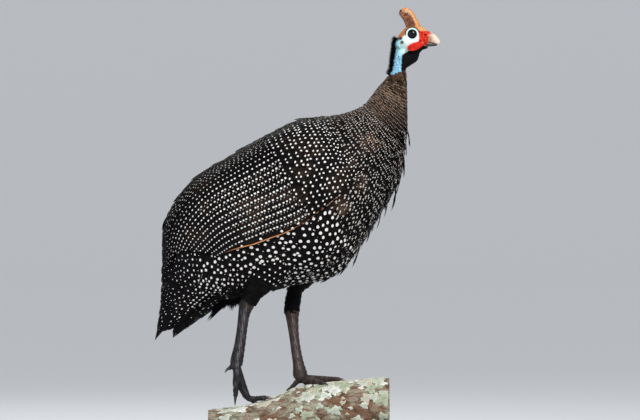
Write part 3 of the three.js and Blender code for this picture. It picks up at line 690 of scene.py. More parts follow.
def head_tint(points):
    """Red, white, blue, orange and black skin by its place on the head, from the middle of the eye."""
    p = points - EYE
    x = p[:, 0] + 0.7 * ripple(points, 7, 11) + 0.4 * ripple(points, 2.5, 12)
    z = p[:, 2] + 0.6 * ripple(points, 6, 13) + 0.3 * ripple(points, 2.2, 18)
    y = np.abs(p[:, 1])
    red = ease((x - 8.2) / 1.2 + 0.5) * ease((z + 14) / 1.5) * ease((6 - z) / 1.2 + 0.5)
    root = ease((x - 4) / 2) * ease((-8.8 + 0.45 * (x - 7) - z) / 1.2 + 0.5) * ease((z + 14.5) / 1.5)
    red = maximum(red, root)
    throat = ease((interp(x, *THROAT_LINE.T) - z) / 1.2 + 0.5) * ease((x + 13.5) / 1.5 + 0.5)
    crown = ease(z - interp(x, *CROWN_LINE.T) + 0.5)
    orange = mixed(CROWN, TAN, ease((x - 3) / 6))
    outline = band(away(p), 7.8, 9.3, 0.5) * ease((p[:, 2] + 1.5 - 0.25 * p[:, 0]) / 3) * (y > 5)
    nape = ease((4.2 - y) / 1.6) * ease((-15.5 - x + 0.02 * z) / 3) * ease((-4 - z) / 3)
    front = ease((x - (-12 - 0.12 * (z + 30))) / 2) * ease((-29 - z) / 3)
    # Each of these is painted over the ones before it.
    coats = [
        (ease((-6.5 - x - 0.3 * (z + 10)) / 4), PALE_GREEN),
        (ease((-14 - z) / 4), PALE_GREEN),
        (ease((-12 - x) / 3), CYAN),
        (maximum(ease((-15.5 - x) / 4) * ease((-6 - z) / 6), ease((-23 - z) / 6)), BLUE),
        (0.85 * blotches(points, 2.0, 15, 0.62, 0.3) * ease((-9 - x) / 3) * ease((-12 - z) / 5), BLACK),
        (0.4 * blotches(points, 2.4, 19, 0.3, 0.4) * ease((-8 - x) / 4), WHITE),
        (red, mottled(RED, points, 0.45, 3.0, 16)),
        # Paler red blotches on the red skin: partly its own paler patches, partly painted highlight.
        (0.35 * red * blotches(points, 3.4, 20, 0.3, 0.4), PALE_RED_AND_SHEEN),
        (throat, BLACK),
        (0.9 * ease((1.6 - away(p, *GAPE)) / 0.8), GAPE_SKIN),
        (crown, mottled(orange, points, 0.3, 2.5, 14)),
        (0.9 * ease((-14 - x) / 3) * ease((z + 9) / 2) * (1 - crown), BLACK),
        (ease((8.2 - away(p)) / 0.5) * (y > 6), EYE_RING),
        (0.95 * outline, BLACK),
        (0.9 * ease((2.9 - away(p, *EAR)) / 1.3), BROWN * 2),
        (0.9 * ease((2.6 - away(p, -14.4, -5.5)) / 1.2), BLACK),
        (nape, BLACK),
        (front * blotches(points, 4, 17, -0.75, 0.4), BLACK),
    ]
    colours = np.tile(WHITE, (len(p), 1))
    for amount, colour in coats:
        colours = mixed(colours, colour, amount)
    return colours


def head_skin():
    """The head and the bare neck: points, quads and colours."""
    parts = [tube(head_form()), tube(on_body(*round_grid(12.2, 17.0, 60, 64), -0.3))]
    points, quads = remeshed(*merged(parts), HEAD_VOXEL)
    points = smoothed(points, quads, 5)
    normals = point_normals(points, quads)
    p = points - EYE
    drawn = interp(p[:, 2], *THROAT_FRONT.T)
    p[:, 0] = np.where(p[:, 0] > -8, (p[:, 0] + 8) * drawn - 8, p[:, 0])
    points[:, 0] = p[:, 0] + EYE[0]
    y = np.abs(p[:, 1])
    # Round the eye the skin is a flat ring, and inside the lids it sinks to the eyeball.
    from_eye, from_ear = away(p), away(p, *EAR)
    side = y > 5
    flat = ease((10.5 - from_eye) / 3.5) * side
    y = y + (LID_OUT - LID_LEAN * p[:, 2] - y) * flat
    socket = ease((LID_OPENING + 0.7 - from_eye) / 1.2) * side
    round_out = np.sqrt(maximum(EYEBALL["radius"] ** 2 - from_eye ** 2, 0))
    sunk = minimum(y, EYEBALL["out"] + EYEBALL["flat"] * round_out - 1.0)
    points[:, 1] = np.sign(points[:, 1]) * (y * (1 - socket) + sunk * socket)
    swell = 0.45 * exp(-((from_eye - 7.1) / 1.0) ** 2) * side
    swell -= 0.5 * exp(-((from_eye - 8.7) / 0.6) ** 2) * side
    # Warts on the red skin in front of the eye, and fine creases elsewhere.
    red = ease((p[:, 0] - 8.2) / 2) * ease((p[:, 2] + 13.5) / 3) * ease((4.4 - p[:, 2]) / 2.5)
    warts = maximum(ripple(points, 2.6, 21), -0.2) * 0.8
    creases = 0.16 * ripple(points, 1.5, 22) + 0.14 * ripple(points * [1, 1, 2.2], 3.0, 23)
    crown = ease((p[:, 2] - 6) / 2)
    nostril = exp(-(((p[:, 0] - 17) / 1.5) ** 2 + ((p[:, 2] + 1.0) / 0.8) ** 2)) * (y > 3)
    ear = exp(-(from_ear / 1.7) ** 2) * side
    ear_rim = exp(-((from_ear - 2.9) / 0.7) ** 2) * side
    push = swell + warts * red + creases * (1 - socket) * (1 - flat) + 0.3 * crown * ripple(points, 2.2, 24)
    push += -1.8 * nostril - 1.4 * ear + 0.4 * ear_rim
    points += normals * push[:, None]
    # Painted shade: the nostrils and the ears' openings are darkened in their dents, and the socket inside
    # the lids is painted black, partly dark lid skin and partly painted shade in the gap round the eyeball.
    return points, quads, mixed(head_tint(points), BLACK, clip(nostril + ear * 0.3 + socket, 0, 1))


def body_skin():
    """The flesh under the feathers: body, neck and thighs, a little inside the coat."""
    row, angle = round_grid(-2.9, 12.8, 120, 64)
    parts = [tube(on_body(row, angle, 1.9 * ease((row - 8.5) / 3.5) - 2.6))]
    for leg in LEGS.values():
        rows = array(leg["thigh"], float)
        rows[:, 3:] -= 1.8
        parts.append(tube(limb_tube(rows, 32, 30)))
    return merged(parts)


def skin():
    """One skin for the whole bird."""
    head_points, head_quads, head_colours = head_skin()
    verts, faces = merged([(head_points, [head_quads]), body_skin()])
    body_colours = np.tile(DARK * 0.6, (len(verts) - len(head_points), 1))
    replaced = ["torso", "neck_feathered", "neck_bare", "head", "thigh_right", "thigh_left"]
    make_mesh("skin", verts, faces, SKIN, replaced, concatenate([head_colours, body_colours]))


# Head furniture

def plane_rows(rows, sign=1):
    """Rows given from the middle of the eye, with how far out they lie where that is given."""
    return [[EYE[0] + x, sign * sum(out), EYE[2] + z, deep, wide] for x, z, deep, wide, *out in rows]


def casque():
    def shape(u, v):
        dent = 0.12 * exp(-((np.abs(sin(v)) - 1) / 0.3) ** 2) * band(u, 0.15, 0.8, 0.3)
        return 1 - dent + 0.02 * sin(v * 3 + u * 9)

    grid = limb_tube(plane_rows(CASQUE), 56, 70, shape)
    grid += (0.25 * ripple(grid, 4, 31) + 0.1 * ripple(grid, 1.6, 32))[..., None] * [0.5, 1, 0]
    verts, faces = tube(tip_rounded(grid, 0.86, 0.02))
    p = verts - EYE
    front = p[:, 0] - interp(p[:, 2], CASQUE[:, 1], CASQUE[:, 0])
    high = ease((p[:, 2] - 20) / 8)
    # The front edge is drawn paler and the middle of the side darker: partly the horn's own colours, partly
    # painted light on the edge and painted shade in the side's dent.
    edge = ease((front - 3.0 + 0.8 * ripple(verts, 5, 33)) / 3)
    rear = ease((-3.2 - front + 0.8 * ripple(verts, 4, 36)) / 3)
    hollow_shade = (1 - edge) * (1 - 0.6 * rear) * band(p[:, 2], 7, 28, 5)
    colours = mixed(mixed(CASQUE_ORANGE, CASQUE_HORN, high), BROWN * 3, 0.75 * rear)
    colours = mixed(colours, CASQUE_RUST_SHADE, clip(hollow_shade * (1.05 + 0.9 * ripple(verts, 3.5, 35)), 0, 1))
    colours = mottled(mixed(colours, CASQUE_PALE_LIT_EDGE, 0.8 * edge * (1 - 0.5 * high)), verts, 0.3, 2.4, 34)
    colours = mixed(colours, BROWN * 0.4, ease((2.6 - away(p, -14.6, 29.5)) / 1.4))
    make_mesh("casque_horn", verts, faces, HORN, ["casque"], colours)


def bill(half, rows):
    """The upper or the lower half of the bill, cut off along the line of the mouth."""
    grid = limb_tube(plane_rows(rows), 48, 48)
    line = EYE[2] + MOUTH["z"] + MOUTH["slope"] * (grid[..., 0] - EYE[0] - MOUTH["x"])
    from_middle = grid[..., 2] - grid[..., 2].mean(1, keepdims=True)
    if half == "upper":
        grid[..., 2] = maximum(grid[..., 2] + minimum(from_middle, 0) * 0.7, line)
    else:
        grid[..., 2] = minimum(grid[..., 2] + maximum(from_middle, 0), line - 0.15)
    verts, faces = tube(tip_rounded(grid, 0.9, 0.05))
    # The lower half is painted near black: painted shade under the upper half.
    colours = BILL_LOWER_SHADE
    if half == "upper":
        x, _, z = (verts - EYE).T
        colours = mixed(BILL_ROOT, BILL_TIP, ease((x - 20.5 + 0.25 * z + ripple(verts, 4, 37)) / 8))
        colours = mixed(colours, RED, ease((22.6 + 0.42 * z - x + 0.8 * ripple(verts, 2.5, 38)) / 1.6))
    colours = mottled(colours, verts, 0.12, 3, 36)
    make_mesh("bill_%s_horn" % half, verts, faces, HORN, ["bill_" + half], colours)


def wattle(side, sign):
    grid = limb_tube(plane_rows(WATTLE, sign), 32, 60)
    grid += (0.35 * ripple(grid, 5, 41) + 0.12 * ripple(grid, 1.6, 42))[..., None] * [0.2, 1, 0.3]
    verts, faces = tube(grid)
    colours = mottled(RED, verts, 0.3, 4, 43)
    make_mesh("wattle_%s_fold" % side, verts, faces, SKIN, ["wattle_" + side], colours)


def eye(side, sign):
    """The ball with its dark iris and pupil, and the rim of the lids round it."""
    radius = EYEBALL["radius"]
    u, v = round_grid(0, math.pi, 33, 48)
    verts, faces = tube(stacked(
        EYE[0] + radius * sin(u) * cos(v),
        sign * (EYEBALL["out"] + radius * EYEBALL["flat"] * cos(u)),
        EYE[2] + radius * sin(u) * sin(v),
    ))
    colours = mixed(BLACK, IRIS, band(away(verts - EYE), 3.0, 4.9, 0.6))
    make_mesh("eyeball_" + side, verts, faces, EYE_GLOSS, ["eye_" + side], colours)
    around, turn = round_grid(0, TAU, 65, 12)
    fat = 0.6 + 0.05 * sin(around * 17)
    reach = LID_OPENING + 0.2 + fat * cos(turn)
    rise = reach * sin(around)
    verts, faces = tube(stacked(
        EYE[0] + reach * cos(around) * 1.04,
        sign * (LID_OUT - 0.1 - LID_LEAN * rise + fat * sin(turn)),
        EYE[2] + rise * 0.97,
    ))
    inner = ease((LID_OPENING + 0.25 - away(verts - EYE)) / 0.4)
    make_mesh("lids_" + side, verts, faces, SKIN, colours=mixed(EYE_RING, BLACK, inner))


def hairs(name, roots, tips, wide, colour, bow=0.0):
    """Fine flat bristles: a three-sided blade each, of four rings."""
    count = len(roots)
    steps = array([0, 0.35, 0.7, 1.0])
    along = tips - roots
    side = unit(np.cross(along, [0.0, 0.3, 1.0]))
    third = unit(np.cross(along, side))
    angle = array([0, TAU / 3, 2 * TAU / 3])[:, None]
    fat = wide / 2 * array([1, 0.85, 0.5, 0.08])
    centre = roots[:, None] + along[:, None] * steps[None, :, None]
    centre += (bow * sin(math.pi * steps))[None, :, None] * third[:, None]
    ring = cos(angle) * side[:, None, None] + sin(angle) * third[:, None, None]
    points = centre[:, :, None] + ring * fat[None, :, None, None]
    faces = repeated(grid_faces(4, 3, around=True), count, 12)
    place = (roots - roots.min(0))[:, 1:] / [40, 120] + [0.2, 0.1]
    uv = place[:, None] + linspace(0, PATCH[1], 12)[:, None]
    make_mesh(name, points, [faces], FEATHER, colours=np.tile(colour, (count * 12, 1)), uv=uv)


def nape_and_neck_hairs():
    """Black hair-like feathers up the nape, which point up and back and thin out behind the head."""
    draw = np.random.default_rng(51)
    count = 1700
    row = 12.3 + 4.65 * draw.uniform(0, 1, count) ** 0.85
    angle = draw.normal(0, 0.34, count)
    roots = on_body(row, angle, -0.3)
    out = on_body(row, angle, 1.0) - on_body(row, angle, 0.0)
    high = ease((row - 15.2) / 1.6)
    long = draw.uniform(3.8, 7.0, count) + 2.6 * high * draw.uniform(0.3, 1.3, count)
    aside, rise = (draw.normal(0, 1, count) for _ in range(2))
    sway = stacked(-0.35 - 0.25 * high, 0.2 * aside, 0.75 + 0.25 * rise)
    hairs("nape_hairs", roots, roots + unit(out * 0.55 + sway) * long[:, None], 0.42, BLACK, bow=0.3)


# The coat of the body

def coat_shades(points, s, c, shade):
    """Near black on the body, brown on the lower neck and in patches on the breast."""
    x, z = points[..., 0], points[..., 2]
    neck = ease((z - 425) / 45) * (0.72 + 0.45 * ripple(points, 8, 62))
    near = sum(exp(-((x - px) ** 2 + (z - pz) ** 2) / size ** 2) for px, pz, size in BROWN_PATCHES)
    patch = clip(near, 0, 1) * ease((shade + 0.3 * ripple(points, 7, 61) - 0.75) / 0.3)
    colour = mixed(mixed(DARK, BROWN, clip(neck, 0, 1.2)), BROWN * 1.5, 0.6 * patch)
    return shaded(colour, s, shade, 0.65, 0.6)


def clear_of_wing(u, v):
    """Whether places need feathers: not so well under the folded wing."""
    degrees = np.degrees(np.abs((v + math.pi) % TAU - math.pi))
    across = (degrees > HIDDEN["top"]) & (degrees < HIDDEN["bottom"])
    return ~(across & (u > HIDDEN["rear"]) & (u < HIDDEN["front"]))


def flank_feathers():
    """The feathers below the wing, over the belly, rump and back, and smaller ones on the breast."""
    def crowd(u):
        return ease((u - 5.7) / 3.0)

    def place(name, start, end, gap_u, gap_v, along, across, loose):
        u, v = ring_layout(on_body, start, end, gap_u, gap_v, 71, clear_of_wing, loose)
        size = 1 - 0.6 * ease((u - 5.7) / 3.2)
        rise = 0.6 + 0.9 * rng.uniform(0, 1, len(u)) + 1.5 * band(u, 6.9, 7.7, 0.4)
        f = feather_set(on_body, u, v, 23 * size, 16.5 * size, rise, spread=0.6, low=-2.4, seed=72)
        vanes("coat_" + name, f, along, across, coat_shades)
        return f, u, np.abs(v)

    f, u, turned = place(
        "body", -1.55, 6.0, lambda u: 7.4 + 1.2 * ease((u - 1) / 3), lambda u: 7.8, 7, 6, 0.1,
    )
    x, _, z = on_body(u, f["v0"]).T
    flank = ease((turned - 1.5) / 0.3) * band(u, 2.0, 6.6, 1.5)
    spot = 1.3 + 1.7 * ease((x + 170) / 60) + 0.9 * flank
    spot *= 1 - 0.55 * ease((0.95 - turned) / 0.4)
    dotted = ~(((turned > 2.8) & (u < 4)) | ((z < 196) & (x < -120)))
    spot = spot[dotted]
    discs = [spot_discs(chosen(f, dotted), 0.8, 0.0, spot * 1.06, spot * 0.98, loose=1.6)]
    small = chosen(f, dotted & (rng.uniform(0, 1, len(u)) < 0.5))
    discs += [spot_discs(small, 0.6, c, 1.5, 1.1, 7, 2, 6) for c in (-0.6, 0.6)]
    spots_piece("spots_body", discs, SPOT)
    f, u, turned = place(
        "breast", 6.0, 9.6, lambda u: 7.4 - 2.9 * crowd(u), lambda u: 5.8 - 2.2 * crowd(u), 6, 4, 0.22,
    )
    spot = (2.5 - 1.25 * ease((u - 5.9) / 2.6)) * (1 - 0.25 * ease((0.9 - turned) / 0.4))
    discs = [spot_discs(f, 0.78, c, spot * 1.25, spot * 0.85, 8, 2.5) for c in (-0.45, 0.45)]
    rear = chosen(f, u < 7.3)
    spots_piece("spots_breast_rear", [spot_discs(rear, 0.55, 0.0, 1.3, 1.1, 7, 2)], GREY_SPOT)
    spots_piece("spots_breast", discs, GREY_SPOT)


def neck_feathers():
    """Short brown feathers up the neck, speckled with dull pale bars that fade out upwards."""
    def crowd(u):
        return ease((u - 9) / 3)

    u, v = ring_layout(
        on_body, 9.3, 13.1, lambda u: 4.8 - 2.0 * crowd(u), lambda u: 3.2 - 0.9 * crowd(u), 81,
        lambda u, v: u < 12.8 - 0.3 * cos(v),
    )
    size = 1 - 0.4 * ease((u - 9) / 3.6)
    rise = 0.5 + rng.uniform(0, 0.5, len(u))
    f = feather_set(on_body, u, v, 10 * size, 6.2 * size, rise, 0.5, -1.0, camber=0.4, seed=82)
    f["shade"] = rng.uniform(0.45, 1.6, len(u))
    vanes("coat_neck", f, 6, 4, coat_shades, 0.12)
    low = chosen(f, u < 11.2 + 1.4 * rng.uniform(0, 1, len(u)))
    discs = [spot_discs(low, 0.82, c, 1.1, 0.85, 7, 3, lift=0.12) for c in (-0.42, 0.42)]
    spots_piece("spots_neck", discs, BROWN_SPOT)


def cluster_set(clusters, line, count, wide, seed):
    """Clusters of thin feathers whose tips draw together and stand off the coat, along one line."""
    draw = np.random.default_rng(seed)
    row, height, long = np.repeat(array(clusters, float), count, 0).T
    middle = np.repeat(line + 0.09 * draw.normal(0, 1, len(clusters)), count)
    total = len(row)
    per_u, per_v = metric(on_body, row, middle)
    share = draw.uniform(0.45, 1.0, total)
    root = row + long / per_u
    f = feather_set(on_body, root, middle, long, wide, height, blunt=0.25, camber=0.3, seed=seed)
    f["v0"] = middle + draw.normal(0, 7.5, total) / per_v
    f["v1"] = middle + draw.normal(0, 2.6, total) / per_v
    f["u1"] = row + long * (1 - share) * 0.7 / per_u
    f["h1"] = height * share + draw.uniform(0, 0.8, total)
    f["long"] = long * share
    return f


def ragged_edge():
    """Loose tufts that hang from the breast, belly and rump and lift off the back."""
    discs = []
    for number, line in enumerate((math.pi, math.pi - 0.42, math.pi + 0.42)):
        off = 0.6 if number else 1
        clusters = [(row - 0.12 * number, height * off, long) for row, height, long in HANGING]
        f = cluster_set(clusters, line, 26, 4.2, 91 + number)
        vanes("tufts_below_%d" % number, f, 7, 4, coat_shades, 0.12)
        front = chosen(f, f["u0"] > 4.5)
        discs += [spot_discs(front, s, 0.0, 1.5, 1.1, 7, 3, number) for s in (0.4, 0.72)]
    vanes("tufts_above", cluster_set(LIFTED, 0.0, 22, 5.0, 95), 7, 4, coat_shades, 0.1)
    roots, tips = [], []
    draw = np.random.default_rng(99)
    for x, z, back, up, spread in RUMP_TUFTS:
        for y in (-9.0, -3.0, 4.0, 10.0) if x > -110 else (-6.0,):
            way = draw.normal(0, 1, (22, 3))
            share = draw.uniform(0.5, 1.0, (22, 1))
            tip = array([x + draw.normal(0, 1), y, z + draw.uniform(-1, 2)])
            root = tip + [back, -0.2 * y, up]
            roots.append(root + way * [spread, 2.5, 1.5])
            tips.append(root + way * [1.0, 1.0, 0.6] + (tip - root) * share)
    hairs("rump_tufts", concatenate(roots), concatenate(tips), 1.5, DARK * 0.7)
    # A loose fringe all along the belly.
    draw = np.random.default_rng(97)
    count = 420
    row = draw.uniform(0.6, 9.4, count)
    angle = math.pi + draw.normal(0, 0.4, count)
    long, rise = draw.uniform(11, 19, count), draw.uniform(0.8, 4.0, count)
    f = feather_set(on_body, row, angle, long, 4.6, rise, 2.0, blunt=0.2, camber=0.3, seed=98)
    vanes("fringe_below", f, 7, 4, coat_shades, 0.12)
    discs.append(spot_discs(chosen(f, row > 4.5), 0.6, 0.0, 1.5, 1.1, 7, 3))
    spots_piece("spots_tufts", discs, GREY_SPOT)


def thigh_feathers():
    """Plain dark feathers down the thighs, to the hock."""
    for side, leg in LEGS.items():
        surface = on_limb(leg["thigh"] + leg["shank"][:1])
        last = leg["feathered"]
        u, v = ring_layout(surface, 0.06, last - 0.04, lambda u: 7.5 - 4.4 * u, lambda u: 8.5 - 4.4 * u, 101)
        size = 1 - 0.55 * u
        rise = 0.4 + rng.uniform(0, 0.5, len(u))
        f = feather_set(
            surface, u, v, 18 * size, 12 * size, rise, 0.6, -1.6, camber=0.4, seed=102, direction=1,
        )
        f["u1"] = minimum(f["u1"], last + 0.05 * cos(v + 0.9) - 0.06 * rng.uniform(0, 1, len(u)))
        vanes("coat_thigh_" + side, f, 7, 5, thigh_shades, 0.12)
        high = chosen(f, u < 0.3)
        spots_piece("spots_thigh_" + side, [spot_discs(high, 0.74, 0.0, 2.6, 2.4, 8)], SPOT)


def thigh_shades(points, s, c, shade):
    return shaded(DARK, s, shade, 0.6, 0.5)


# The wings

def wing_tier(sign, count, u0, v0, u1, v1, wide, h0, h1, tilt, seed):
    """Long feathers whose roots and tips lie in two lines on the folded wing."""
    draw = np.random.default_rng(seed)
    t = linspace(0, 1, count)
    u0, v0, u1, v1 = (interp(t, [0, 1], ends) for ends in (u0, v0, u1, v1))
    u1 = u1 + draw.normal(0, 0.04, count)
    v0, v1 = sign * np.radians(v0), sign * np.radians(v1)
    return {
        "surface": on_wing, "u0": u0, "v0": v0, "u1": u1, "v1": v1,
        "per_v": metric(on_wing, (u0 + u1) / 2, (v0 + v1) / 2)[1],
        "long": np.linalg.norm(on_wing(u0, v0) - on_wing(u1, v1), axis=1),
        "wide": wide, "h0": h0 + 0.02 * t, "h1": h1 + 0.25 * t, "camber": 0.6, "tilt": tilt * sign,
        "bend": 0.0, "blunt": 0.86, "shade": draw.uniform(0.6, 1.4, count),
    }


def wing_layers(side, sign):
    """Long feathers in tiers, then coverts, with their rows of dots and slanted bars."""
    tiers = {name: wing_tier(sign, *numbers) for name, numbers in WING_TIERS.items()}
    for name, f in tiers.items():
        replaced = ["wing_" + side] if name == "secondaries" else ()
        vanes("wing_%s_%s" % (side, name), f, 40, 8, wing_shades, 0.02, replaced=replaced)
    # Each long feather has a row of dots near its lower edge and, on the lower ones, slanted bars.
    discs, bars, dull = [], [], []
    f = tiers["secondaries"]
    feather = arange(len(f["u0"]))
    high = linspace(0, 1, len(feather))
    for number, s in enumerate(arange(0.1, 0.975, 0.0235)):
        dot = 2.4 * (1 - 0.22 * ease((s - 0.55) / 0.45)) * (1 - 0.4 * ease((high - 0.7) / 0.3))
        discs.append(spot_discs(f, s, 0.55 * sign, dot * 1.1, dot * 0.95, 9, 0.2, number))
        kept = (high < 0.72) & (s < 0.6 + 0.1 * (feather % 2))
        lower, place = chosen(f, kept), (s + 0.012, 0.88 * sign)
        bars.append(spot_discs(lower, *place, 0.9 * dot[kept], 0.8, 8, 0.2, number + 50, turn=62 * sign))
    spots_piece("bars_wing_" + side, bars, GREY_SPOT)
    f = tiers["tertials"]
    low = arange(len(f["u0"])) < 6
    for number, s in enumerate(arange(0.12, 0.97, 0.03)):
        discs.append(spot_discs(chosen(f, low), s, 0.5 * sign, 1.75, 1.5, 8, 0.3, number + 90))
        dull.append(spot_discs(chosen(f, ~low), s, 0.5 * sign, 1.3, 1.1, 7, 0.3, number + 130))
    # Scale-like coverts over the front of the wing.
    u, v = lattice(arange(5.3, 7.15, 0.145), 11, sign * math.radians(14), sign * math.radians(105))
    front, rear = ease((u - 6.2) / 0.8), ease((5.9 - u) / 0.6)
    rise = 2.6 - 1.6 * front - 0.7 * rear
    f = feather_set(on_wing, u, v, 16.5, 13.5, rise, 0.3, 0.2 - 2.2 * front, camber=0.5, seed=122)
    vanes("coverts_" + side, f, 8, 6, wing_shades)
    degrees = np.degrees(np.abs(v))
    dot = 2.3 * (1 - 0.3 * front) * (1 - 0.3 * ease((42 - degrees) / 20))
    upper = degrees < 24
    dot = dot[~upper]
    for c in (-0.42, 0.42):
        discs.append(spot_discs(chosen(f, ~upper), 0.78, c, dot * 1.08, dot * 0.95, loose=1.6))
        dull.append(spot_discs(chosen(f, upper), 0.78, c, 1.2, 1.0, 7, 2))
    foremost = chosen(f, u > 6.8)
    places = [(s, c) for s in (0.2, 0.36, 0.54) for c in (-0.5, 0.5)]
    discs += [spot_discs(foremost, s, c, 1.5, 1.3, 8, 1.6, int(s * 100)) for s, c in places]
    spots_piece("spots_back_" + side, dull, BROWN_SPOT)
    spots_piece("spots_wing_" + side, discs, SPOT)


def wing_shades(points, s, c, shade):
    warm = blotches(points * [0.6, 1, 1], 22, 63, -0.2, 0.9) * band(points[..., 2], 290, 410, 60)
    return mixed(shaded(DARK, s, shade, 0.75, 0.4), BROWN * 0.75, 0.7 * warm * (0.5 + 0.5 * cos(c * 5)))


def copper_line(side, sign):
    """The rufous edge of a feather along the foot of the wing, broken into marks further forward."""
    def strip(start, end, fat, middle, tall):
        t = linspace(0, 1, 40)
        row = start + (end - start) * t
        angle = sign * np.radians(interp(row, *COPPER_LINE.T))
        centre = on_wing(row, angle, middle)
        out = on_wing(row, angle, middle + 1) - centre
        across = np.cross(unit(np.gradient(centre, axis=0)), out)
        ring = linspace(0, TAU, 8, endpoint=False)[:, None]
        reach = fat * sin(math.pi * clip(t, 0.02, 0.98)) ** 0.5
        section = cos(ring) * across[:, None] + tall * sin(ring) * out[:, None]
        return tube(centre[:, None] + reach[:, None, None] * section)

    marks = [strip(row, row + 0.075, 0.5, 2.9, 2.0) for row in arange(4.84, 5.9, 0.135)]
    verts, faces = merged([strip(2.86, 4.8, 0.8, 1.9, 2.3), *marks])
    colours = mottled(RUFOUS, verts, 0.4, 12, 131)
    make_mesh("rufous_edge_" + side, verts, faces, FEATHER, colours=colours)


# The tail

def on_tail(u, v, height=0.0):
    """A sheet down the back of the tail: u from 0 at the root to 1, v across it in millimetres."""
    u, v, height = shared(u, v, height)
    turn = v / 26.0
    x = -167.5 - 8 * u - 2.4 * u * u
    return stacked(
        x - 6 * cos(turn) + 6 - height * cos(turn) + 0.6 * (np.sqrt(v * v + 4) - 2),
        v * (0.62 + 0.55 * u) + height * sin(turn),
        222 - 57.5 * u + 0.42 * np.abs(v) * u,
    )


def under_tail(u, v, height=0.0):
    """The same down the underside of the tail, where the feathers draw together to the tip."""
    u, v, height = shared(u, v, height)
    turn = v / 22.0
    return stacked(
        -100 - 57.5 * u + height * cos(turn) * 0.6 - 0.012 * v * v,
        v * (1 - 0.42 * u) + height * sin(turn),
        211 - 42.5 * u - height * cos(turn) * 0.8 + 0.012 * v * v,
    )


def beside_tail(sign):
    """The same down the side of the tail, between the other two."""
    def surface(u, v, height=0.0):
        u, v, height = shared(u, v, height)
        x = -130.5 - 26.5 * u + v * (0.9 - 0.35 * u)
        return stacked(x, sign * (19 - 11 * u - 0.01 * v * v + height), 224 - 55 * u)
    return surface


def rank(name, surface, count, step, u0, u1, wide, h0, h1, seed, dots, near, slope, blunt=0.5, replaced=()):
    """A layer of tail feathers side by side, which get shorter outwards. Gives the discs of its dots."""
    draw = np.random.default_rng(seed)
    place = (arange(count) - (count - 1) / 2) * step
    shorter = slope * maximum(np.abs(place) - near, 0)
    full = np.linalg.norm(surface(0.0, 0.0) - surface(1.0, 0.0))
    f = {
        "surface": surface, "u0": np.full(count, u0), "v0": place * 0.8,
        "u1": u1 - shorter + draw.normal(0, 0.012, count), "v1": place, "per_v": 1.0,
        "long": np.full(count, full * (u1 - u0)), "wide": wide, "h0": h0, "h1": h1 - 0.05 * np.abs(place),
        "camber": 0.6, "tilt": 0.35 * np.sign(place + 0.01), "bend": 0.0, "blunt": blunt,
        "shade": draw.uniform(0.8, 1.2, count),
    }
    vanes(name, f, 24, 8, ragged=0.03, replaced=replaced)
    return [spot_discs(f, s, 0.0, 1.7, 1.5, 8, 3, int(s * 1000)) for s in arange(0.3, dots, 0.12)]


def tail():
    """The tail's layers, above, below and at the sides, each as the numbers that rank takes."""
    ranks = [
        ("tail_feathers", on_tail, 15, 2.7, -0.05, 1.0, 8.5, -2, 0.8, 141, 0, 4, 0.015, 0.75, ["tail"]),
        ("tail_coverts_long", on_tail, 11, 3.5, -0.2, 0.74, 10.5, -1.5, 1.6, 142, 0.62, 5, 0.02),
        ("tail_coverts", on_tail, 9, 4.0, -0.35, 0.46, 12.5, -1.0, 2.4, 143, 0.94, 0, 0.01),
        ("under_tail_feathers", under_tail, 11, 3.4, -0.1, 1.0, 11.0, -2.5, 0.3, 144, 0.5, 4, 0.01),
        ("under_tail_coverts", under_tail, 10, 4.4, -0.3, 0.74, 13.0, -1.0, 1.2, 145, 0.8, 0, 0.005, 0.4),
        ("under_tail_short", under_tail, 9, 5.2, -0.45, 0.42, 14.0, -1.0, 1.9, 146, 0.9, 0, 0.004, 0.4),
    ]
    for side, sign in SIDES:
        beside = beside_tail(sign)
        ranks.append(("tail_side_" + side, beside, 9, 3.4, -0.1, 1.0, 9.0, -2.0, 0.5, 147, 0.62, 1, 0.035))
    spots_piece("spots_tail", [disc for numbers in ranks for disc in rank(*numbers)], SPOT)


# Legs

def branch_place(x):
    return interp(x, BRANCH[:, 0], arange(len(BRANCH)))


def on_branch(x, angle, height=0.0):
    x, angle, height = shared(x, angle, height)
    row = read_rows(BRANCH, branch_place(x))
    knots = 1 + 0.035 * sin(2 * angle + x / 31) + 0.025 * sin(3 * angle + 1.3 - x / 19)
    reach = row[..., 2] * knots + height
    return stacked(x, sin(angle) * reach, row[..., 1] + cos(angle) * reach)


def toe_rows(leg, toe):
    """Rows of a toe from the ankle on, laid over the branch."""
    _, turn, reaches, lifts, fat = toe
    ax, ay, az = leg["ankle"]
    turn = math.radians(turn)
    axis = float(read_rows(BRANCH, branch_place(ax))[..., 1])
    start = math.atan2(ay, az - axis)
    at = on_branch(ax, start)
    radius = math.hypot(at[1], at[2] - axis)
    rows = [[ax, ay, az, fat * 1.2, fat * 1.2]]
    for i, (reach, lift) in enumerate(zip(reaches, lifts)):
        thin = fat * (1 - 0.13 * i)
        angle = start + math.sin(turn) * reach / radius
        rows.append([*on_branch(ax + math.cos(turn) * reach, angle, thin + 0.35 + lift), thin, thin])
    return rows


def scuted(count, deep=0.10):
    """Scutes down the front, each lapping the next, and small scales behind."""
    def shape(u, v):
        front = clip(cos(v) * 1.6, 0, 1)
        step = (u * count) % 1
        plate = deep * front * (1 - step) * (1 - 0.4 * ease((step - 0.85) / 0.15))
        scales = 0.035 * (1 - front) * sin(u * count * 2.2 * TAU) * sin(v * 7)
        return 1 + plate + scales
    return shape


def toe_shape(count):
    def shape(u, v):
        front = clip(cos(v) * 1.6, 0, 1)
        step = (u * count) % 1
        pads = 0.10 * clip(-cos(v), 0, 1) * cos(u * 3 * TAU)
        return 1 + 0.09 * front * (1 - step) + pads
    return shape


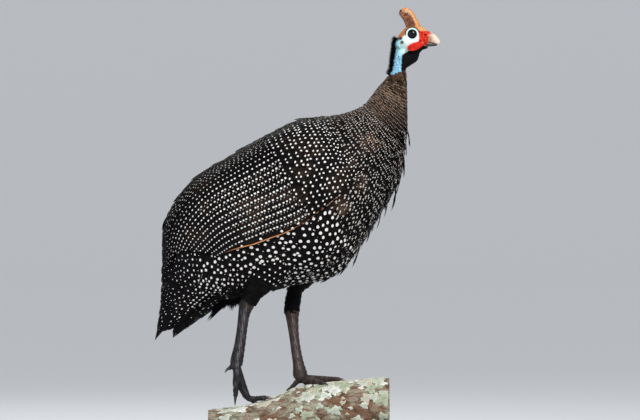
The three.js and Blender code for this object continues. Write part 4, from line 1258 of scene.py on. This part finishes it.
def leg_colours(points, leg):
    """Dark scaly skin with a paler stripe down the middle of the outer side, partly dusty speckle and partly
    painted highlight, browner at the hock.
    """
    shin = array(leg["shank"])[::-1]
    middle = interp(points[:, 2], shin[:, 2], shin[:, 0]) + 0.7
    # The stripe down the middle of the shank's side: painted highlight, broken up like dusty speckle.
    dust_and_sheen_streak = exp(-((points[:, 0] - middle) / 2.1) ** 2) * ease((points[:, 2] - 118) / 12)
    dust_and_sheen_streak = dust_and_sheen_streak * blotches(points * [1.4, 1, 0.3], 2.6, 151, -0.45, 0.6)
    dust_and_sheen = maximum(dust_and_sheen_streak, 0.3 * blotches(points * [1, 1, 0.3], 4, 153, 0.2, 0.7))
    hock = ease((11 - np.linalg.norm(points - leg["hock"], axis=1)) / 6)
    colours = mixed(array(leg["tone"]), array(leg["dust_and_sheen_streak"]), dust_and_sheen)
    return mottled(mixed(colours, BROWN * 1.3, 0.8 * hock), points, 0.3, 1.6, 152)


def ball(centre, radius):
    u, v = round_grid(0.02, math.pi - 0.02, 24, 24)
    way = stacked(sin(u) * cos(v), sin(u) * sin(v), cos(u))
    return tube(array(centre) + way * radius)


def legs():
    """One skin for each leg, from the hock under the feathers to the toes, and its claws."""
    for side, leg in LEGS.items():
        hidden = [array(leg["thigh"][k]) * [1, 1, 1, thin, thin] for k, thin in ((-2, 0.8), (-1, 0.88))]
        shin = limb_tube([*hidden, *leg["shank"], [*leg["ankle"], 7.2, 6.4]], 56, 330, scuted(19))
        parts = [tube(shin), ball(leg["hock"], [6.4, 6.6, 7.4]), ball(leg["ankle"], [6.6, 6.2, 6.4])]
        for toe in leg["toes"]:
            joints = {"middle": 15, "hind": 9}.get(toe[0], 12)
            parts.append(tube(limb_tube(toe_rows(leg, toe), 28, 150, toe_shape(joints))))
        points, quads = remeshed(*merged(parts), LEG_VOXEL)
        points = smoothed(points, quads, 1)
        replaced = ["shank_" + side, "foot_" + side]
        make_mesh("leg_%s_skin" % side, points, [quads], LEG, replaced, leg_colours(points, leg))
        for toe in leg["toes"]:
            claw("claw_%s_%s" % (side, toe[0]), toe[0], array(toe_rows(leg, toe))[:, :3])


def claw(name, toe, line):
    """A claw that goes on from the end of a toe's line."""
    end = line[-1]
    ahead = unit(end - line[-2])
    long, fat = CLAW["hind" if toe == "hind" else "long"], CLAW["fat"]
    rows = [
        [*(end + ahead * (0.35 + long * share) + [0, 0, drop]), fat * thick, fat * thick * 0.8]
        for share, drop, thick in CLAW_LINE
    ]
    verts, faces = tube(limb_tube(rows, 20, 30))
    tip = ease((verts - end) @ ahead / long)
    # The middle toe's claw tips are painted pale and the others dark: lit and shaded copies of one claw
    # colour.
    colours = mixed(CLAW_ROOT, CLAW_PALE_LIT if toe == "middle" else CLAW_DARK_SHADED, tip)
    make_mesh(name + "_horn", verts, faces, HORN, [name], colours)


# The branch and the stand

def branch():
    """The branch with its bark: long furrows, cross cracks and a pale crust."""
    first, last = BRANCH[0, 0], BRANCH[-1, 0]
    x, angle = round_grid(first, last, 300, 220)
    plain = on_branch(x, angle)
    furrows = ripple(stacked(x * 0.28, sin(angle) * 36, cos(angle) * 36), 8, 161, 14)
    cracks = ripple(stacked(x, sin(angle) * 20, cos(angle) * 20), 7, 162, 12)
    fine = ripple(plain, 2.6, 163, 14)
    height = 0.9 * np.abs(furrows) + 0.4 * cracks + 0.25 * fine - 1.1
    height *= ease(minimum(np.abs(x - first), np.abs(x - last)) / 2 + 0.15)
    deep = ease((0.35 - np.abs(furrows)) / 0.35)
    colours = mixed(BARK_WARM, BARK_GREY, blotches(plain, 26, 164, -0.4, 1.1))
    # Painted shade: the furrows are darkened, and the fine relief is drawn lighter where it stands higher and
    # darker where it sinks.
    colours = colours * ((1 - 0.6 * deep) * (1 + 0.22 * fine))[..., None]
    crust = ease((ripple(plain, 15, 165, 12) - 0.25 + 0.35 * cos(angle)) / 0.35)
    colours = mixed(colours, mottled(BARK_CRUST, plain, 0.25, 4, 166), 0.35 * crust * (1 - 0.7 * deep))
    verts, faces = tube(on_branch(x, angle, height))
    colours = concatenate([colours.reshape(-1, 3), [CUT_WOOD, CUT_WOOD]])
    make_mesh("branch_bark", verts, faces, BARK, ["branch"], colours)


def lichens():
    """Crusts with lobed edges, thickest on the upper side, in pale grey-green."""
    draw = np.random.default_rng(171)
    count, rings, sides = 330, 6, 28

    def each(values):
        return values[:, None, None]

    x = each(-106 + 214 * draw.uniform(0, 1, count) ** 0.62)
    angle = each(draw.normal(0, 1.15, count))
    size = each(draw.lognormal(1.05, 0.5, count).clip(1.2, 8))
    t = linspace(0, 1, rings)[None, :, None]
    around = linspace(0, TAU, sides, endpoint=False)[None, None]
    phase = draw.uniform(0, TAU, (count, 4))
    lobes = 1
    for k, (amount, waves) in enumerate(((0.22, 3), (0.16, 5), (0.12, 9), (0.08, 13))):
        lobes = lobes + amount * sin(waves * around + each(phase[:, k]))
    reach = size * t * (1 + (lobes - 1) * t)
    px = clip(x + reach * cos(around) * 1.3, BRANCH[0, 0] + 2, BRANCH[-1, 0] - 2)
    height = 0.75 * (1 - t ** 3) * each(0.75 + 0.5 * draw.uniform(0, 1, count)) - 0.5 * t ** 4
    points = on_branch(px, angle + reach * sin(around) / 36, height + 0.1)
    points = points + 0.22 * ripple(points, 1.6, 172)[..., None] * [0, 0.4, 1.0]
    faces = repeated(grid_faces(rings, sides, around=True), count, rings * sides)
    tone = each(LICHEN_TONES[draw.integers(0, 4, count)])
    colours = mottled(tone, points, 0.2, 2.2, 173) * (0.75 + 0.35 * t[..., None])
    make_mesh("lichen_crusts", points, [faces], LICHEN, colours=colours)


def stand():
    for name, material in (("stand_base", PLATE), ("stand_rod_1", STEEL), ("stand_rod_2", STEEL)):
        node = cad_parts[name]
        node.data.materials.clear()
        node.data.materials.append(material)


# Floor, light and camera

def floor():
    """A pale floor that curves up far outside the camera's circle, all the way round."""
    sides = 96
    reach, rise = array(FLOOR).T[..., None]
    around = linspace(0, TAU, sides, endpoint=False)
    verts = stacked(reach * cos(around), reach * sin(around), rise).reshape(-1, 3)
    rings = grid_faces(len(FLOOR), sides, around=True)[:, ::-1] + 1
    middle = [[0, k + 1, (k + 1) % sides + 1] for k in range(sides)]
    mesh = bpy.data.meshes.new("floor")
    mesh.from_pydata([(0, 0, 0), *verts.tolist()], [], middle + rings.tolist())
    mesh.polygons.foreach_set("use_smooth", [True] * len(mesh.polygons))
    piece = bpy.data.objects.new("floor", mesh)
    bpy.context.scene.collection.objects.link(piece)
    mesh.materials.append(principled(
        "floor", (0.42, 0.425, 0.43), 0.95, Emission_Color=(0.93, 0.96, 1.0, 1), Emission_Strength=0.31,
    ))


def area_light(name, place, aim, size, power, colour=(1, 1, 1)):
    data = bpy.data.lights.new(name, "AREA")
    data.size = size
    data.energy = power
    data.color = colour
    light = bpy.data.objects.new(name, data)
    light.location = place
    way = array(aim) - array(place)
    flat = math.hypot(way[0], way[1])
    light.rotation_euler = (math.atan2(flat, -way[2]), 0, math.atan2(-way[0], way[1]))
    bpy.context.scene.collection.objects.link(light)


def lights():
    scene = bpy.context.scene
    scene.view_settings.view_transform = "Standard"
    scene.world = bpy.data.worlds.new("soft_sky")
    scene.world.use_nodes = True
    sky = scene.world.node_tree.nodes["Background"].inputs
    sky["Color"].default_value = (0.80, 0.86, 0.95, 1)
    sky["Strength"].default_value = 0.36
    area_light("key", (0.9, -1.5, 1.7), (0, 0, 0.35), 0.7, 46, (1.0, 0.97, 0.93))
    area_light("fill", (-1.6, -1.4, 0.9), (0, 0, 0.3), 1.2, 10, (0.93, 0.96, 1.0))
    area_light("rim", (-0.5, 1.2, 1.5), (0, 0, 0.35), 0.8, 14)


def camera():
    data = bpy.data.cameras.new("camera")
    data.lens = 225
    data.sensor_width = 36
    data.clip_end = 50
    made = bpy.data.objects.new("camera", data)
    made.location = (0.0275, -5.0, 0.3285)
    made.rotation_euler = (math.pi / 2, 0, 0)
    bpy.context.scene.collection.objects.link(made)
    bpy.context.scene.camera = made


skin()
casque()
bill("upper", UPPER_BILL)
bill("lower", LOWER_BILL)
for side, sign in SIDES:
    eye(side, sign)
    wattle(side, sign)
    wing_layers(side, sign)
    copper_line(side, sign)
nape_and_neck_hairs()
flank_feathers()
neck_feathers()
ragged_edge()
thigh_feathers()
tail()
legs()
branch()
lichens()
stand()
floor()
lights()
camera()

bpy.context.view_layer.update()
